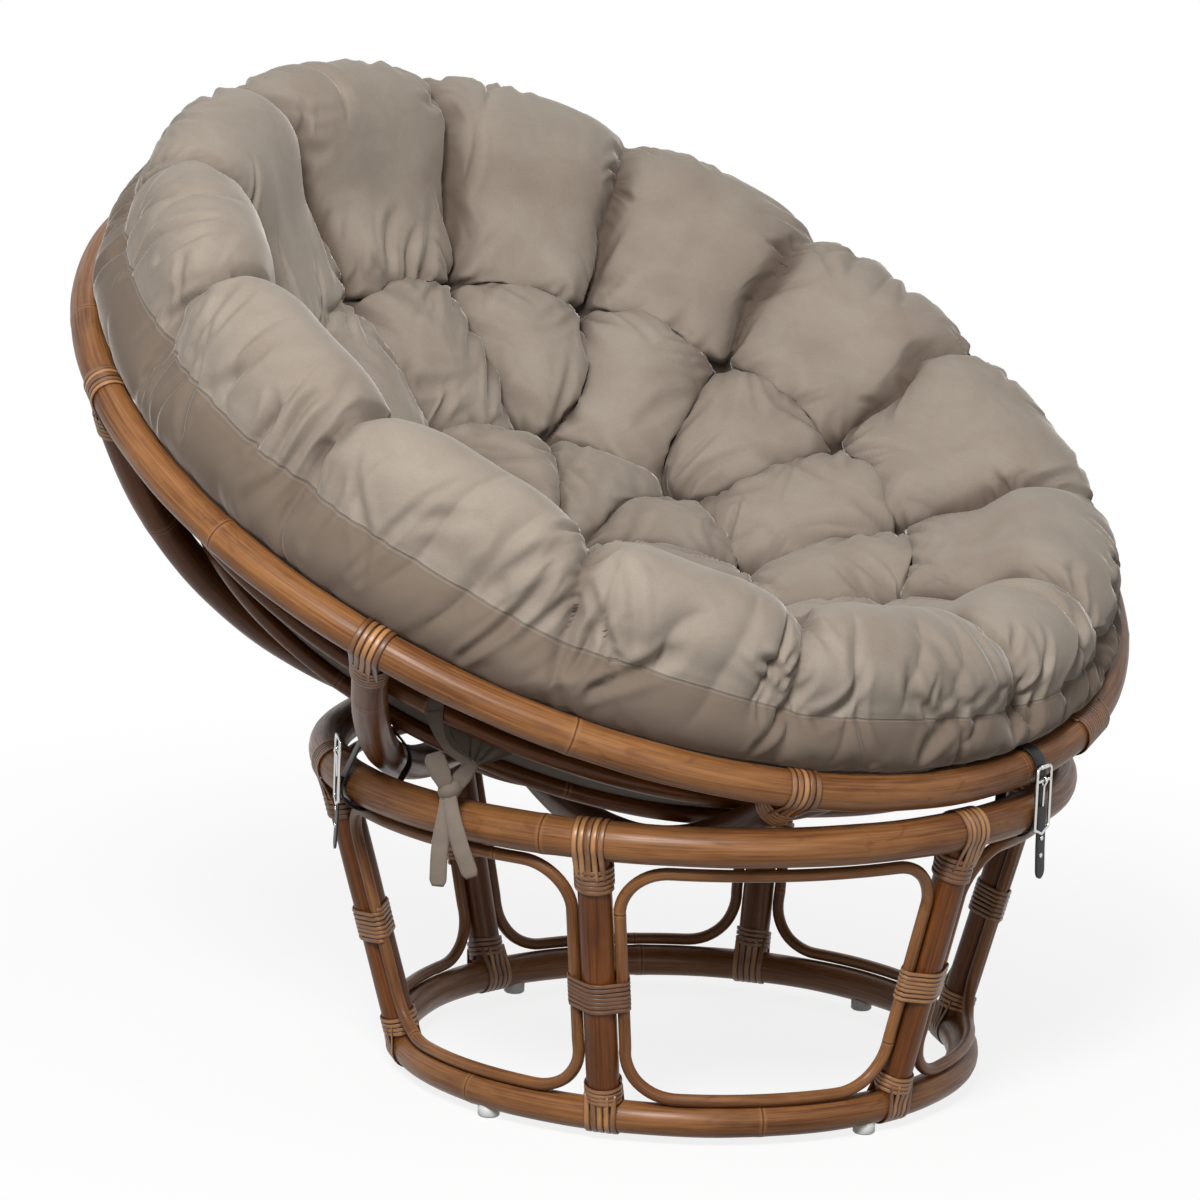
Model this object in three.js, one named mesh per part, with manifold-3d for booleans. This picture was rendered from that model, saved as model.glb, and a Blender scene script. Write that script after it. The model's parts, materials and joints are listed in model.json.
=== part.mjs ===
// Papasan chair: a tilted rattan bowl that rests in a round rattan base, with a tufted cushion.
// Millimetres, +Z up, the low front edge of the bowl towards -Y.
import * as THREE from "three";
import { mergeVertices } from "three/addons/utils/BufferGeometryUtils.js";
import Module from "manifold-3d";

const wasm = await Module();
wasm.setup();

// Fits that every piece shares
const touchGap = 0.3; // between pieces that touch
const seatGap = 0.9; // between the ribs and the base, where the cane on two ribs rests
const overrun = 4; // how far a cut runs past what it cuts
const weldDistance = 0.001; // vertices closer than this are one vertex
const saddleShare = 0.25; // a pole that butts on another starts this share of its radius from its middle

// Base: two rings of bent pole, joined by leaning posts
const baseTopRadius = 370; // to the middle of the pole
const baseTopPole = 19.8; // radius of the pole
const baseBottomRadius = 288.4;
const baseBottomPole = 16.6;
const baseRise = 296.1; // between the middles of the two rings
const postCount = 6;
const postTopRadius = 17.3;
const postBottomRadius = 16.4;
const postTurn = -2; // degrees from the front to the first post
const ringSegmentsPerPost = 8;
const poleSides = 10;
const postSides = 10;

// Window loops: one bent rod between each two posts
const rodRadius = 6.2;
const loopTopCorner = 44;
const loopBottomCorner = 57;
const loopTopSlack = 5; // between the loop and the top ring, where a strap passes
const rodSides = 6;
const cornerSteps = 4;
const barSteps = 3;

// Cane bindings
const caneThickness = 1.8;
const bindingSides = 10;
const postCollarWidth = 34; // along the ring
const postSleeveLength = 32; // along the post, from the skin of the ring
const footSleeveLength = 24;
const footCollarWidth = 32;
const midWrapSides = 16;
const midWrapHeight = 38;
const midWrapRise = 136; // from the middle of the bottom ring, measured straight up

// Glides under the bottom ring
const glideTurns = [-8, 91, 171, -88]; // degrees from the front, clear of the feet's bindings
const glideRadius = 11;
const glideHeight = 8.2; // from the floor to the ring
const glideChamfer = 1.5;
const glideSides = 12;

// Bowl: a rim, ribs on a sphere, a small ring where they meet, and two thin rings inside
const bowlTilt = 25.9; // degrees
const rimRadius = 555;
const rimPole = 18.4;
const ribSphereShare = 1.13964; // of the rim's radius: the sphere that the ribs' and the rim's middles lie on
const ribPole = 17.8;
const ribCount = 8;
const rimSegmentsPerRib = 6;
const hubSegmentsPerRib = 4;
const ribSteps = 8;
const ribSides = 8;
const hubSides = 8;
const hubRadius = 115;
const hubPole = 15;
const innerPole = 8.5;
const innerRingInsets = [90, 159]; // of the thin rings, from the rim
const innerSides = 6;
const rimCollarWidth = 38;
const rimSpliceLength = 66; // the collar that also holds the rim's joined ends
const rimSpliceRib = 0; // which rib it is at, counted from the front towards +X
const ribSleeveLength = 30;

// Cushion: a round tufted pad that lines the bowl and stands up past the rim.
// Insets run inwards from the middle of the rim's pole, rises run up from the rim's plane.
const cushionClearance = 0.3; // to the flats of the thin rings below
const cushionEdgeInset = 35; // the lower seam
const cushionBandInset = -1; // the band between the seams, at its fullest, which hangs over the rim
const cushionBandRise = 45;
const cushionSeamInset = 13; // the upper seam
const cushionSeamRise = 72;
const cushionPuffInset = 7;
const cushionPuffRise = 108;
const cushionShoulderInset = 27;
const cushionShoulderRise = 138;
const cushionCrownInset = 66;
const cushionCrownRise = 150;
const cushionLipInset = 115;
const cushionLipRise = 130;
const cushionWallInset = 149;
const cushionWallRise = 78;
const cushionSlopeInset = 177;
const cushionSlopeRise = 18;
const cushionLiftFront = -16; // how much the crown rises towards the front, less at the back
const cushionLiftSide = -44; // and towards +X, so it stands highest at the left and the back
const cushionLean = 9; // how much further out the crown stands at the back left, and less at the front right
const cushionLeanTurn = -136; // degrees from the front
const outerTuftInset = 205;
const outerTuftCover = 150.5; // from the underside straight up to a tuft of the outer circle
const outerTuftCount = 13;
const outerTuftTurn = 197;
const innerTuftShare = 4 / 7; // of the outer circle's radius
const innerTuftCover = 131.3;
const innerTuftCount = 8;
const innerTuftTurn = 194;
const middleTuftCover = 156.8;
const puffHeight = 28; // of the filling between the tufts
const tuftReach = 46; // how far from its middle a tuft pulls the cover down
const creaseDepth = 17; // of the radial creases over the crown
const azimuthsPerTuft = 3;
const cushionBottomSteps = 7;
const cushionBandSteps = 3;
const cushionTopSteps = 15;

// Straps: belts with a wire buckle that hold the bowl to the base
const strapWidth = 20;
const strapThickness = 2.2;
const strapClearance = 0.9; // round the poles
const strapSides = 24;
const rightStrapTurn = 13; // degrees from the front, where it holds the rim to the base
const leftStrapRib = 6; // the rib that the left strap holds to the base, counted from the front towards +X
const strapTail = 62; // below the middle of the base's ring
const buckleWire = 1.6;
const buckleLength = 68;
const buckleWidth = 27;
const buckleCorner = 5;
const buckleRise = 17; // its middle, above the middle of the base's ring
const buckleBarDrop = 14; // from the frame's top bar to the bar that the prong turns on
const prongLength = 26;
const prongRadius = 1.3;
const wireSides = 6;

// Tie: a cloth band that hangs from the outer thin ring, knotted over the base
const tieTurn = -60; // bowl angle
const tieThickness = 5;
const tieWidth = 17;
const tieDrop = 62; // from the ring's middle to the knot's middle
const tieKnotRadius = 12;
const tieTailLength = 88;
const tieTailSpread = 11; // degrees to each side

const rattan = { color: 0x6e3d20, roughness: 0.42, metalness: 0 };
const rattanDark = { color: 0x5a301a, roughness: 0.48, metalness: 0 };
const cane = { color: 0xb5793c, roughness: 0.55, metalness: 0 };
const velvet = { color: 0x867868, roughness: 0.85, metalness: 0 };
const leather = { color: 0x1b1816, roughness: 0.5, metalness: 0 };
const steel = { color: 0xc9c9c6, roughness: 0.22, metalness: 1 };
const plastic = { color: 0xdfe0de, roughness: 0.45, metalness: 0 };

const radians = THREE.MathUtils.degToRad;
const zAxis = new THREE.Vector3(0, 0, 1);

// Sizes that follow from the ones above
const bottomRingHeight = glideHeight + baseBottomPole;
const topRingHeight = bottomRingHeight + baseRise;
const postLean = Math.atan2(baseTopRadius - baseBottomRadius, baseRise);
const postSpan = baseRise / Math.cos(postLean);
const ringSegments = postCount * ringSegmentsPerPost;
const rimSegments = ribCount * rimSegmentsPerRib;
const hubSegments = ribCount * hubSegmentsPerRib;
const ribSphere = rimRadius * ribSphereShare;
const rimDrop = Math.sqrt(ribSphere ** 2 - rimRadius ** 2); // from the sphere's middle to the rim's plane
const seatReach = ribSphere + ribPole + seatGap + baseTopPole; // from the same to the middle of the base's top ring
const sphereHeight = topRingHeight + Math.sqrt(seatReach ** 2 - baseTopRadius ** 2);
const rimAngle = Math.asin(rimRadius / ribSphere); // from straight down, about the sphere's middle
const hubAngle = Math.asin(hubRadius / ribSphere);
const ribSag = ribSphere * (1 - Math.cos((rimAngle - hubAngle) / (2 * ribSteps))); // of a rib's short straights
const innerSphere = ribSphere - ribSag / 2 - ribPole - innerPole - touchGap;
const innerRingRadii = innerRingInsets.map((inset) => rimRadius - inset);
const cushionSphere = innerSphere - innerPole * Math.cos(Math.PI / innerSides) - cushionClearance;
const cushionEdgeRadius = rimRadius - cushionEdgeInset;
const outerTuftRadius = rimRadius - outerTuftInset;
const innerTuftRadius = outerTuftRadius * innerTuftShare;
const undersideRise = (radius) => rimDrop - Math.sqrt(cushionSphere ** 2 - radius ** 2);
const outerTuftRise = undersideRise(outerTuftRadius) + outerTuftCover;
const innerTuftRise = undersideRise(innerTuftRadius) + innerTuftCover;
const cushionFloorRise = undersideRise(0) + middleTuftCover;

// A curve through stations, straight between them, so that a swept pole has one ring of faces a station
class StationPath extends THREE.Curve {
  constructor(stations) {
    super();
    this.stations = stations;
  }
  getPoint(t) {
    const last = this.stations.length - 1;
    const place = Math.min(t * last, last);
    const index = Math.min(Math.floor(place + weldDistance), last - 1);
    return this.stations[index].clone().lerp(this.stations[index + 1], place - index);
  }
  getPointAt(u) {
    return this.getPoint(u);
  }
  getTangentAt(u) {
    const last = this.stations.length - 1;
    const index = Math.round(u * last);
    const before = this.stations[Math.max(index - 1, 0)];
    const after = this.stations[Math.min(index + 1, last)];
    return after.clone().sub(before).normalize();
  }
}

// Booleans

function solid(geometry) {
  const bare = geometry.clone();
  bare.deleteAttribute("normal");
  bare.deleteAttribute("uv");
  const merged = mergeVertices(bare, weldDistance);
  return new wasm.Manifold(
    new wasm.Mesh({
      numProp: 3,
      vertProperties: new Float32Array(merged.attributes.position.array),
      triVerts: new Uint32Array(merged.index.array),
    }),
  );
}

function geometryOf(made) {
  const mesh = made.getMesh();
  const geometry = new THREE.BufferGeometry();
  geometry.setAttribute("position", new THREE.BufferAttribute(new Float32Array(mesh.vertProperties), 3));
  geometry.setIndex(new THREE.BufferAttribute(new Uint32Array(mesh.triVerts), 1));
  geometry.computeVertexNormals();
  return geometry;
}

function join(...geometries) {
  return geometryOf(geometries.map(solid).reduce((whole, part) => whole.add(part)));
}

function cut(geometry, ...tools) {
  return geometryOf(tools.map(solid).reduce((whole, tool) => whole.subtract(tool), solid(geometry)));
}

// Basic forms

function circleShape(radius, sides) {
  const points = [];
  for (let i = 0; i < sides; i++) {
    const angle = (i / sides) * 2 * Math.PI;
    points.push(new THREE.Vector2(radius * Math.cos(angle), radius * Math.sin(angle)));
  }
  return new THREE.Shape(points);
}

function sweptPole(stations, radius, sides) {
  return new THREE.ExtrudeGeometry(circleShape(radius, sides), {
    steps: stations.length - 1,
    extrudePath: new StationPath(stations),
  });
}

function straightPole(from, to, radiusFrom, radiusTo, sides) {
  const span = to.clone().sub(from);
  const geometry = new THREE.CylinderGeometry(radiusTo, radiusFrom, span.length(), sides);
  const turn = new THREE.Quaternion().setFromUnitVectors(new THREE.Vector3(0, 1, 0), span.normalize());
  const middle = from.clone().add(to).multiplyScalar(1 / 2);
  return geometry.applyQuaternion(turn).translate(middle.x, middle.y, middle.z);
}

// A ring of pole in the XY plane, made of short straights, with the middle of one straight at the front
function ring(radius, pole, segments, sides) {
  const half = Math.PI / segments;
  return new THREE.TorusGeometry(radius / Math.cos(half), pole, sides, segments).rotateZ(half - Math.PI / 2);
}

// A straight collar round the middle of a ring's front straight
function collar(radius, height, width, skin) {
  const end = (way) => new THREE.Vector3((way * width) / 2, -radius, height);
  return straightPole(end(-1), end(1), skin, skin, bindingSides);
}

// Cane wound round a ring and down a pole that butts on it: a collar and a sleeve, with room for both.
// The pole runs from the ring's middle towards memberEnd.
function cornerBinding({ radius, pole, height, collarWidth, memberEnd, memberPole, sleeveLength, rooms }) {
  const ringPoint = new THREE.Vector3(0, -radius, height);
  const along = memberEnd.clone().sub(ringPoint).normalize();
  const sleeveEnd = ringPoint.clone().addScaledVector(along, pole + sleeveLength);
  const sleeveSkin = memberPole + touchGap + caneThickness;
  const sleeve = straightPole(ringPoint, sleeveEnd, sleeveSkin, sleeveSkin, bindingSides);
  return cut(join(collar(radius, height, collarWidth, pole + touchGap + caneThickness), sleeve), ...rooms);
}

// Base pieces, made at the front and turned to their places

const postBottom = new THREE.Vector3(0, -baseBottomRadius, bottomRingHeight);
const postTop = new THREE.Vector3(0, -baseTopRadius, topRingHeight);
const postAlong = postTop.clone().sub(postBottom).normalize();

function postPoint(distance) {
  return postBottom.clone().addScaledVector(postAlong, distance);
}

function postRadiusAt(distance) {
  return THREE.MathUtils.lerp(postBottomRadius, postTopRadius, distance / postSpan);
}

function topRingRoom() {
  return ring(baseTopRadius, baseTopPole + touchGap, ringSegments, poleSides).translate(0, 0, topRingHeight);
}

function bottomRingRoom() {
  return ring(baseBottomRadius, baseBottomPole + touchGap, ringSegments, poleSides)
    .translate(0, 0, bottomRingHeight);
}

// A post's pole, grown all round
function postPole(extra) {
  const start = baseBottomPole * saddleShare - extra;
  const end = postSpan - baseTopPole * saddleShare + extra;
  return straightPole(
    postPoint(start),
    postPoint(end),
    postRadiusAt(start) + extra,
    postRadiusAt(end) + extra,
    postSides,
  );
}

// A post with the binding of its foot, which is wound tight on it
function postGeometry() {
  const footCollar = collar(
    baseBottomRadius,
    bottomRingHeight,
    footCollarWidth,
    baseBottomPole + touchGap + caneThickness,
  );
  const sleeveEnd = baseBottomPole + footSleeveLength;
  const sleeveRadius = postBottomRadius + caneThickness;
  const sleeve = straightPole(postPoint(0), postPoint(sleeveEnd), sleeveRadius, sleeveRadius, bindingSides);
  return cut(join(postPole(0), footCollar, sleeve), topRingRoom(), bottomRingRoom());
}

function postTopWrapGeometry() {
  return cornerBinding({
    radius: baseTopRadius,
    pole: baseTopPole,
    height: topRingHeight,
    collarWidth: postCollarWidth,
    memberEnd: postBottom,
    memberPole: postTopRadius,
    sleeveLength: postSleeveLength,
    rooms: [topRingRoom(), postPole(touchGap)],
  });
}

// A point of a window loop on the cone that the posts lie on.
// across runs along the cone from the middle of the window, up runs along the slant from the bottom ring.
function conePoint(across, up) {
  const radius = THREE.MathUtils.lerp(baseBottomRadius, baseTopRadius, up / postSpan);
  const angle = across / radius;
  const height = bottomRingHeight + up * Math.cos(postLean);
  return new THREE.Vector3(radius * Math.sin(angle), -radius * Math.cos(angle), height);
}

// How far the middle of a loop's side runs from the middle of the window, at a height along the slant
function sideOffset(up) {
  const radius = THREE.MathUtils.lerp(baseBottomRadius, baseTopRadius, up / postSpan);
  return (radius * Math.PI) / postCount - postTopRadius - rodRadius - touchGap;
}

const loopBottom = baseBottomPole + rodRadius + touchGap;
const loopTop = postSpan - baseTopPole - loopTopSlack - rodRadius;
const midWrapUp = midWrapRise / Math.cos(postLean);

// Stations of a loop, from the butt joint inside the binding at +X round to the other side of it
function loopStations() {
  const flat = [];
  const add = (across, up) => flat.push([across, up]);
  const corner = (up, radius, startAngle, side, way) => {
    // A round corner that starts on one straight and ends on the next
    const middleUp = up - way * radius;
    const middle = side * (sideOffset(middleUp) - radius);
    for (let i = 0; i <= cornerSteps; i++) {
      const angle = startAngle + (i / cornerSteps) * (Math.PI / 2);
      add(middle + radius * Math.cos(angle), middleUp + radius * Math.sin(angle));
    }
  };
  const bar = (fromAcross, toAcross, up) => {
    for (let i = 1; i < barSteps; i++) add(THREE.MathUtils.lerp(fromAcross, toAcross, i / barSteps), up);
  };
  const jointUp = midWrapUp;
  add(sideOffset(jointUp + touchGap), jointUp + touchGap);
  add(sideOffset(jointUp + midWrapHeight), jointUp + midWrapHeight);
  corner(loopTop, loopTopCorner, 0, 1, 1);
  const topReach = sideOffset(loopTop - loopTopCorner) - loopTopCorner;
  bar(topReach, -topReach, loopTop);
  corner(loopTop, loopTopCorner, Math.PI / 2, -1, 1);
  add(-sideOffset(jointUp), jointUp);
  corner(loopBottom, loopBottomCorner, Math.PI, -1, -1);
  const bottomReach = sideOffset(loopBottom + loopBottomCorner) - loopBottomCorner;
  bar(-bottomReach, bottomReach, loopBottom);
  corner(loopBottom, loopBottomCorner, (3 * Math.PI) / 2, 1, -1);
  add(sideOffset(jointUp - touchGap), jointUp - touchGap);
  return flat.map(([across, up]) => conePoint(across, up));
}

function loopGeometry() {
  return sweptPole(loopStations(), rodRadius, rodSides);
}

// Cane wound round a post and the loops' rods on both sides of it
function midWrapGeometry() {
  const side = postTopRadius + rodRadius + touchGap;
  const grow = touchGap + caneThickness;
  const circles = [
    [0, postTopRadius + grow],
    [side, rodRadius + grow],
    [-side, rodRadius + grow],
  ];
  const outline = [];
  for (let i = 0; i < midWrapSides; i++) {
    const angle = ((i + 1 / 2) / midWrapSides) * 2 * Math.PI;
    const reach = ([x, radius]) => x * Math.cos(angle) + radius;
    const [x, radius] = circles.reduce((best, next) => (reach(next) > reach(best) ? next : best));
    outline.push(new THREE.Vector2(x + radius * Math.cos(angle), radius * Math.sin(angle)));
  }
  const block = new THREE.ExtrudeGeometry(new THREE.Shape(outline), { depth: midWrapHeight, bevelEnabled: false })
    .translate(0, 0, -midWrapHeight / 2)
    .rotateX(postLean);
  const middle = postPoint(midWrapUp);
  block.translate(middle.x, middle.y, middle.z);
  const reach = midWrapHeight / 2 + overrun;
  const postRoom = straightPole(
    postPoint(midWrapUp - reach),
    postPoint(midWrapUp + reach),
    postTopRadius + touchGap,
    postTopRadius + touchGap,
    postSides,
  );
  const rodReach = (rodRadius + touchGap) / Math.cos(Math.PI / bindingSides);
  const rodRoom = [1, -1].map((way) => {
    const turn = (way * Math.PI) / postCount;
    const at = (up) => conePoint(-way * sideOffset(up), up).applyAxisAngle(zAxis, turn);
    return straightPole(at(midWrapUp - reach), at(midWrapUp + reach), rodReach, rodReach, bindingSides);
  });
  return cut(block, postRoom, ...rodRoom);
}

function glideGeometry(turn) {
  const profile = [
    [0, 0],
    [glideRadius - glideChamfer, 0],
    [glideRadius, glideChamfer],
    [glideRadius, glideHeight + baseBottomPole / 2],
    [0, glideHeight + baseBottomPole / 2],
  ].map(([x, y]) => new THREE.Vector2(x, y));
  const glide = new THREE.LatheGeometry(profile, glideSides).rotateX(Math.PI / 2);
  glide.translate(0, -baseBottomRadius, 0).rotateZ(radians(turn - postTurn));
  return cut(glide, bottomRingRoom());
}

// Bowl pieces, in the bowl's own frame: the rim lies in XY, the ribs hang below it

function ribPoint(angle) {
  return new THREE.Vector3(0, -ribSphere * Math.sin(angle), rimDrop - ribSphere * Math.cos(angle));
}

const hubRise = ribPoint(hubAngle).z;

// A rib's pole, grown all round
function ribSweep(extra) {
  const start = rimAngle - (rimPole * saddleShare - extra) / ribSphere;
  const end = hubAngle + (hubPole * saddleShare - extra) / ribSphere;
  const stations = [];
  for (let i = 0; i <= ribSteps; i++) stations.push(ribPoint(THREE.MathUtils.lerp(start, end, i / ribSteps)));
  return sweptPole(stations, ribPole + extra, ribSides);
}

function rimRoom() {
  return ring(rimRadius, rimPole + touchGap, rimSegments, poleSides);
}

function ribGeometry() {
  const hubRoom = ring(hubRadius, hubPole + touchGap, hubSegments, hubSides).translate(0, 0, hubRise);
  return cut(ribSweep(0), rimRoom(), hubRoom);
}

function ribWrapGeometry(collarWidth) {
  return cornerBinding({
    radius: rimRadius,
    pole: rimPole,
    height: 0,
    collarWidth,
    memberEnd: ribPoint(rimAngle - (rimPole + ribSleeveLength) / ribSphere),
    memberPole: ribPole + touchGap,
    sleeveLength: ribSleeveLength,
    rooms: [rimRoom(), ribSweep(touchGap)],
  });
}

function innerRingRise(radius) {
  return rimDrop - Math.sqrt(innerSphere ** 2 - radius ** 2);
}

// Cushion

function tuftsOf(count, radius, turn) {
  const places = [];
  for (let i = 0; i < count; i++) {
    const angle = radians(turn + (i * 360) / count);
    places.push(new THREE.Vector2(radius * Math.sin(angle), -radius * Math.cos(angle)));
  }
  return places;
}

const tufts = [
  ...tuftsOf(outerTuftCount, outerTuftRadius, outerTuftTurn),
  ...tuftsOf(innerTuftCount, innerTuftRadius, innerTuftTurn),
  new THREE.Vector2(0, 0),
];

// The cushion's section at one azimuth, from the middle of its underside round to the middle of its top
function cushionSection(angle) {
  const lift = cushionLiftFront * Math.cos(angle) + cushionLiftSide * Math.sin(angle);
  const section = [];
  const edgeAngle = Math.asin(cushionEdgeRadius / cushionSphere);
  for (let i = 0; i < cushionBottomSteps; i++) {
    const polar = (edgeAngle * i) / cushionBottomSteps;
    section.push([cushionSphere * Math.sin(polar), rimDrop - cushionSphere * Math.cos(polar)]);
  }
  const lean = cushionLean * Math.cos(angle - radians(cushionLeanTurn));
  const raise = (inset, rise) => {
    const share = rise / cushionCrownRise;
    return new THREE.Vector2(rimRadius - inset + lean * share, rise + lift * share);
  };
  const band = new THREE.SplineCurve([
    new THREE.Vector2(cushionEdgeRadius, 0),
    raise(cushionBandInset, cushionBandRise),
    raise(cushionSeamInset, cushionSeamRise),
  ]);
  const top = new THREE.SplineCurve([
    raise(cushionSeamInset, cushionSeamRise),
    raise(cushionPuffInset, cushionPuffRise),
    raise(cushionShoulderInset, cushionShoulderRise),
    raise(cushionCrownInset, cushionCrownRise),
    raise(cushionLipInset, cushionLipRise),
    raise(cushionWallInset, cushionWallRise),
    raise(cushionSlopeInset, cushionSlopeRise),
    new THREE.Vector2(outerTuftRadius, outerTuftRise),
    new THREE.Vector2((outerTuftRadius + innerTuftRadius) / 2, (outerTuftRise + innerTuftRise) / 2),
    new THREE.Vector2(innerTuftRadius, innerTuftRise),
    new THREE.Vector2(innerTuftRadius / 2, (innerTuftRise + cushionFloorRise) / 2),
    new THREE.Vector2(0, cushionFloorRise),
  ]);
  for (let i = 0; i < cushionBandSteps; i++) section.push(band.getPoint(i / cushionBandSteps).toArray());
  for (let i = 0; i <= cushionTopSteps; i++) section.push(top.getPoint(i / cushionTopSteps).toArray());
  return section;
}

// Filling between the tufts, and creases that run over the crown from each outer tuft
function puffed(point, angle, onTop) {
  if (!onTop) return point;
  const flat = new THREE.Vector2(point.x, point.y);
  const radius = flat.length();
  const pull = tufts.reduce((most, tuft) => {
    const near = tuft.distanceTo(flat) / tuftReach;
    return Math.max(most, Math.exp(-near * near));
  }, 0);
  const towards = new THREE.Vector3(0, 0, rimDrop).sub(point).normalize();
  const phase = (angle - radians(outerTuftTurn)) * outerTuftCount;
  const overCrown = THREE.MathUtils.smoothstep(radius, outerTuftRadius, rimRadius - cushionWallInset);
  const crease = creaseDepth * overCrown * Math.max(0, Math.cos(phase));
  const inner = 1 - overCrown;
  return point.clone().addScaledVector(towards, puffHeight * (1 - pull) * inner - crease);
}

function cushionGeometry() {
  const count = outerTuftCount * azimuthsPerTuft;
  const firstTop = cushionBottomSteps + cushionBandSteps;
  const columns = [];
  for (let i = 0; i < count; i++) {
    const angle = radians(outerTuftTurn) + (i / count) * 2 * Math.PI;
    columns.push(
      cushionSection(angle).map(([radius, rise], row) => {
        const point = new THREE.Vector3(radius * Math.sin(angle), -radius * Math.cos(angle), rise);
        return puffed(point, angle, row > firstTop);
      }),
    );
  }
  return lofted(columns);
}

// A closed surface from columns that share their first and last points
function lofted(columns) {
  const rows = columns[0].length;
  const points = [columns[0][0], columns[0][rows - 1]];
  const index = (column, row) => {
    if (row === 0) return 0;
    if (row === rows - 1) return 1;
    return 2 + (column % columns.length) * (rows - 2) + row - 1;
  };
  columns.forEach((column) => points.push(...column.slice(1, rows - 1)));
  const faces = [];
  for (let i = 0; i < columns.length; i++) {
    for (let row = 0; row < rows - 1; row++) {
      const [a, b] = [index(i, row), index(i + 1, row)];
      const [c, d] = [index(i + 1, row + 1), index(i, row + 1)];
      if (row > 0) faces.push(a, b, c);
      if (row < rows - 2) faces.push(a, c, d);
    }
  }
  const geometry = new THREE.BufferGeometry().setFromPoints(points);
  geometry.setIndex(faces);
  return geometryOf(solid(geometry));
}

// Straps and buckles. A strap is a belt round two poles, drawn with x outwards, y up and z across its width.

// The belt's own frame: it stands upright, square to the middle direction between the two poles
function beltFrame(lower, upper) {
  const across = lower.along.clone().add(upper.along).setZ(0).normalize();
  const out = zAxis.clone().cross(across);
  if (out.dot(lower.point) < 0) {
    across.negate();
    out.negate();
  }
  const turn = new THREE.Quaternion().setFromRotationMatrix(new THREE.Matrix4().makeBasis(out, zAxis, across));
  const inner = beltOutline([lower, upper], lower.point, turn, strapClearance);
  const outer = beltOutline([lower, upper], lower.point, turn, strapClearance + strapThickness);
  return { point: lower.point, turn, inner, outer };
}

// The outline of a belt drawn tight round poles that cross its plane, with room for its whole width
function beltOutline(poles, origin, turn, clearance) {
  const back = turn.clone().invert();
  const points = [];
  poles.forEach(({ point, along, radius }) => {
    const middle = point.clone().sub(origin).applyQuaternion(back);
    const heading = along.clone().applyQuaternion(back);
    const side = new THREE.Vector3(heading.y, -heading.x, 0);
    if (side.length() < weldDistance) side.set(1, 0, 0);
    side.normalize();
    const over = heading.clone().cross(side);
    const reach = (radius + clearance) / Math.cos(Math.PI / strapSides);
    for (let i = 0; i < strapSides; i++) {
      const angle = (i / strapSides) * 2 * Math.PI;
      const skin = middle.clone().addScaledVector(side, reach * Math.cos(angle));
      skin.addScaledVector(over, reach * Math.sin(angle));
      [-strapWidth / 2, strapWidth / 2].forEach((plane) => {
        const crossing = skin.clone().addScaledVector(heading, (plane - skin.z) / heading.z);
        points.push(new THREE.Vector2(crossing.x, crossing.y));
      });
    }
  });
  return hull(points);
}

// The smallest outline without hollows round a set of points, counter-clockwise
function hull(points) {
  const sorted = points.slice().sort((a, b) => a.x - b.x || a.y - b.y);
  const chain = (list) => {
    const kept = [];
    list.forEach((next) => {
      while (kept.length > 1) {
        const [before, last] = kept.slice(-2);
        const turnsLeft = last.clone().sub(before).cross(next.clone().sub(last)) > weldDistance;
        if (turnsLeft) break;
        kept.pop();
      }
      kept.push(next);
    });
    return kept.slice(0, -1);
  };
  return [...chain(sorted), ...chain(sorted.reverse())];
}

function extrudedAcross(shape, width) {
  return new THREE.ExtrudeGeometry(shape, { depth: width, bevelEnabled: false }).translate(0, 0, -width / 2);
}

function outermost(outline) {
  return Math.max(...outline.map((point) => point.x));
}

// The belt and its tail, which hangs straight down from the outermost point round the base's ring
function strapGeometry({ inner, outer }) {
  const belt = new THREE.Shape(outer);
  belt.holes.push(new THREE.Path(inner));
  const back = outermost(outer);
  const face = back - strapThickness;
  const tip = strapThickness / 4;
  const tail = new THREE.Shape(
    [
      [face, 0],
      [face, -strapTail + strapWidth / 2],
      [face + tip, -strapTail],
      [back - tip, -strapTail],
      [back, -strapTail + strapWidth / 2],
      [back, 0],
    ].map(([x, y]) => new THREE.Vector2(x, y)),
  );
  return join(extrudedAcross(belt, strapWidth), extrudedAcross(tail, strapWidth - strapThickness));
}

// How far out from the middle of the base's ring the buckle's wire lies
function buckleOut({ outer }) {
  return outermost(outer) + touchGap + buckleWire;
}

// A wire frame with round corners, and the bar that the prong turns on
function buckleGeometry() {
  const half = new THREE.Vector2(buckleWidth / 2, buckleLength / 2);
  const stations = [new THREE.Vector3(0, half.y, -touchGap)];
  [
    [-1, 1, 1],
    [-1, -1, 2],
    [1, -1, 3],
    [1, 1, 0],
  ].forEach(([side, end, quarters]) => {
    for (let i = 0; i <= cornerSteps; i++) {
      const angle = (quarters + i / cornerSteps) * (Math.PI / 2);
      const across = side * (half.x - buckleCorner) + buckleCorner * Math.cos(angle);
      const up = end * (half.y - buckleCorner) + buckleCorner * Math.sin(angle);
      stations.push(new THREE.Vector3(0, up, across));
    }
  });
  stations.push(new THREE.Vector3(0, half.y, touchGap));
  const bar = (up, reach) =>
    straightPole(new THREE.Vector3(0, up, -reach), new THREE.Vector3(0, up, reach), buckleWire, buckleWire, wireSides);
  return join(
    sweptPole(stations, buckleWire, wireSides),
    bar(half.y, half.x - buckleCorner),
    bar(half.y - buckleBarDrop, half.x),
  );
}

// The prong hangs from the buckle's bar, drawn from the bar's middle
function prongGeometry() {
  const top = -buckleWire - touchGap;
  return straightPole(
    new THREE.Vector3(0, top, 0),
    new THREE.Vector3(0, top - prongLength, 0),
    prongRadius,
    prongRadius,
    wireSides,
  );
}

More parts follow.
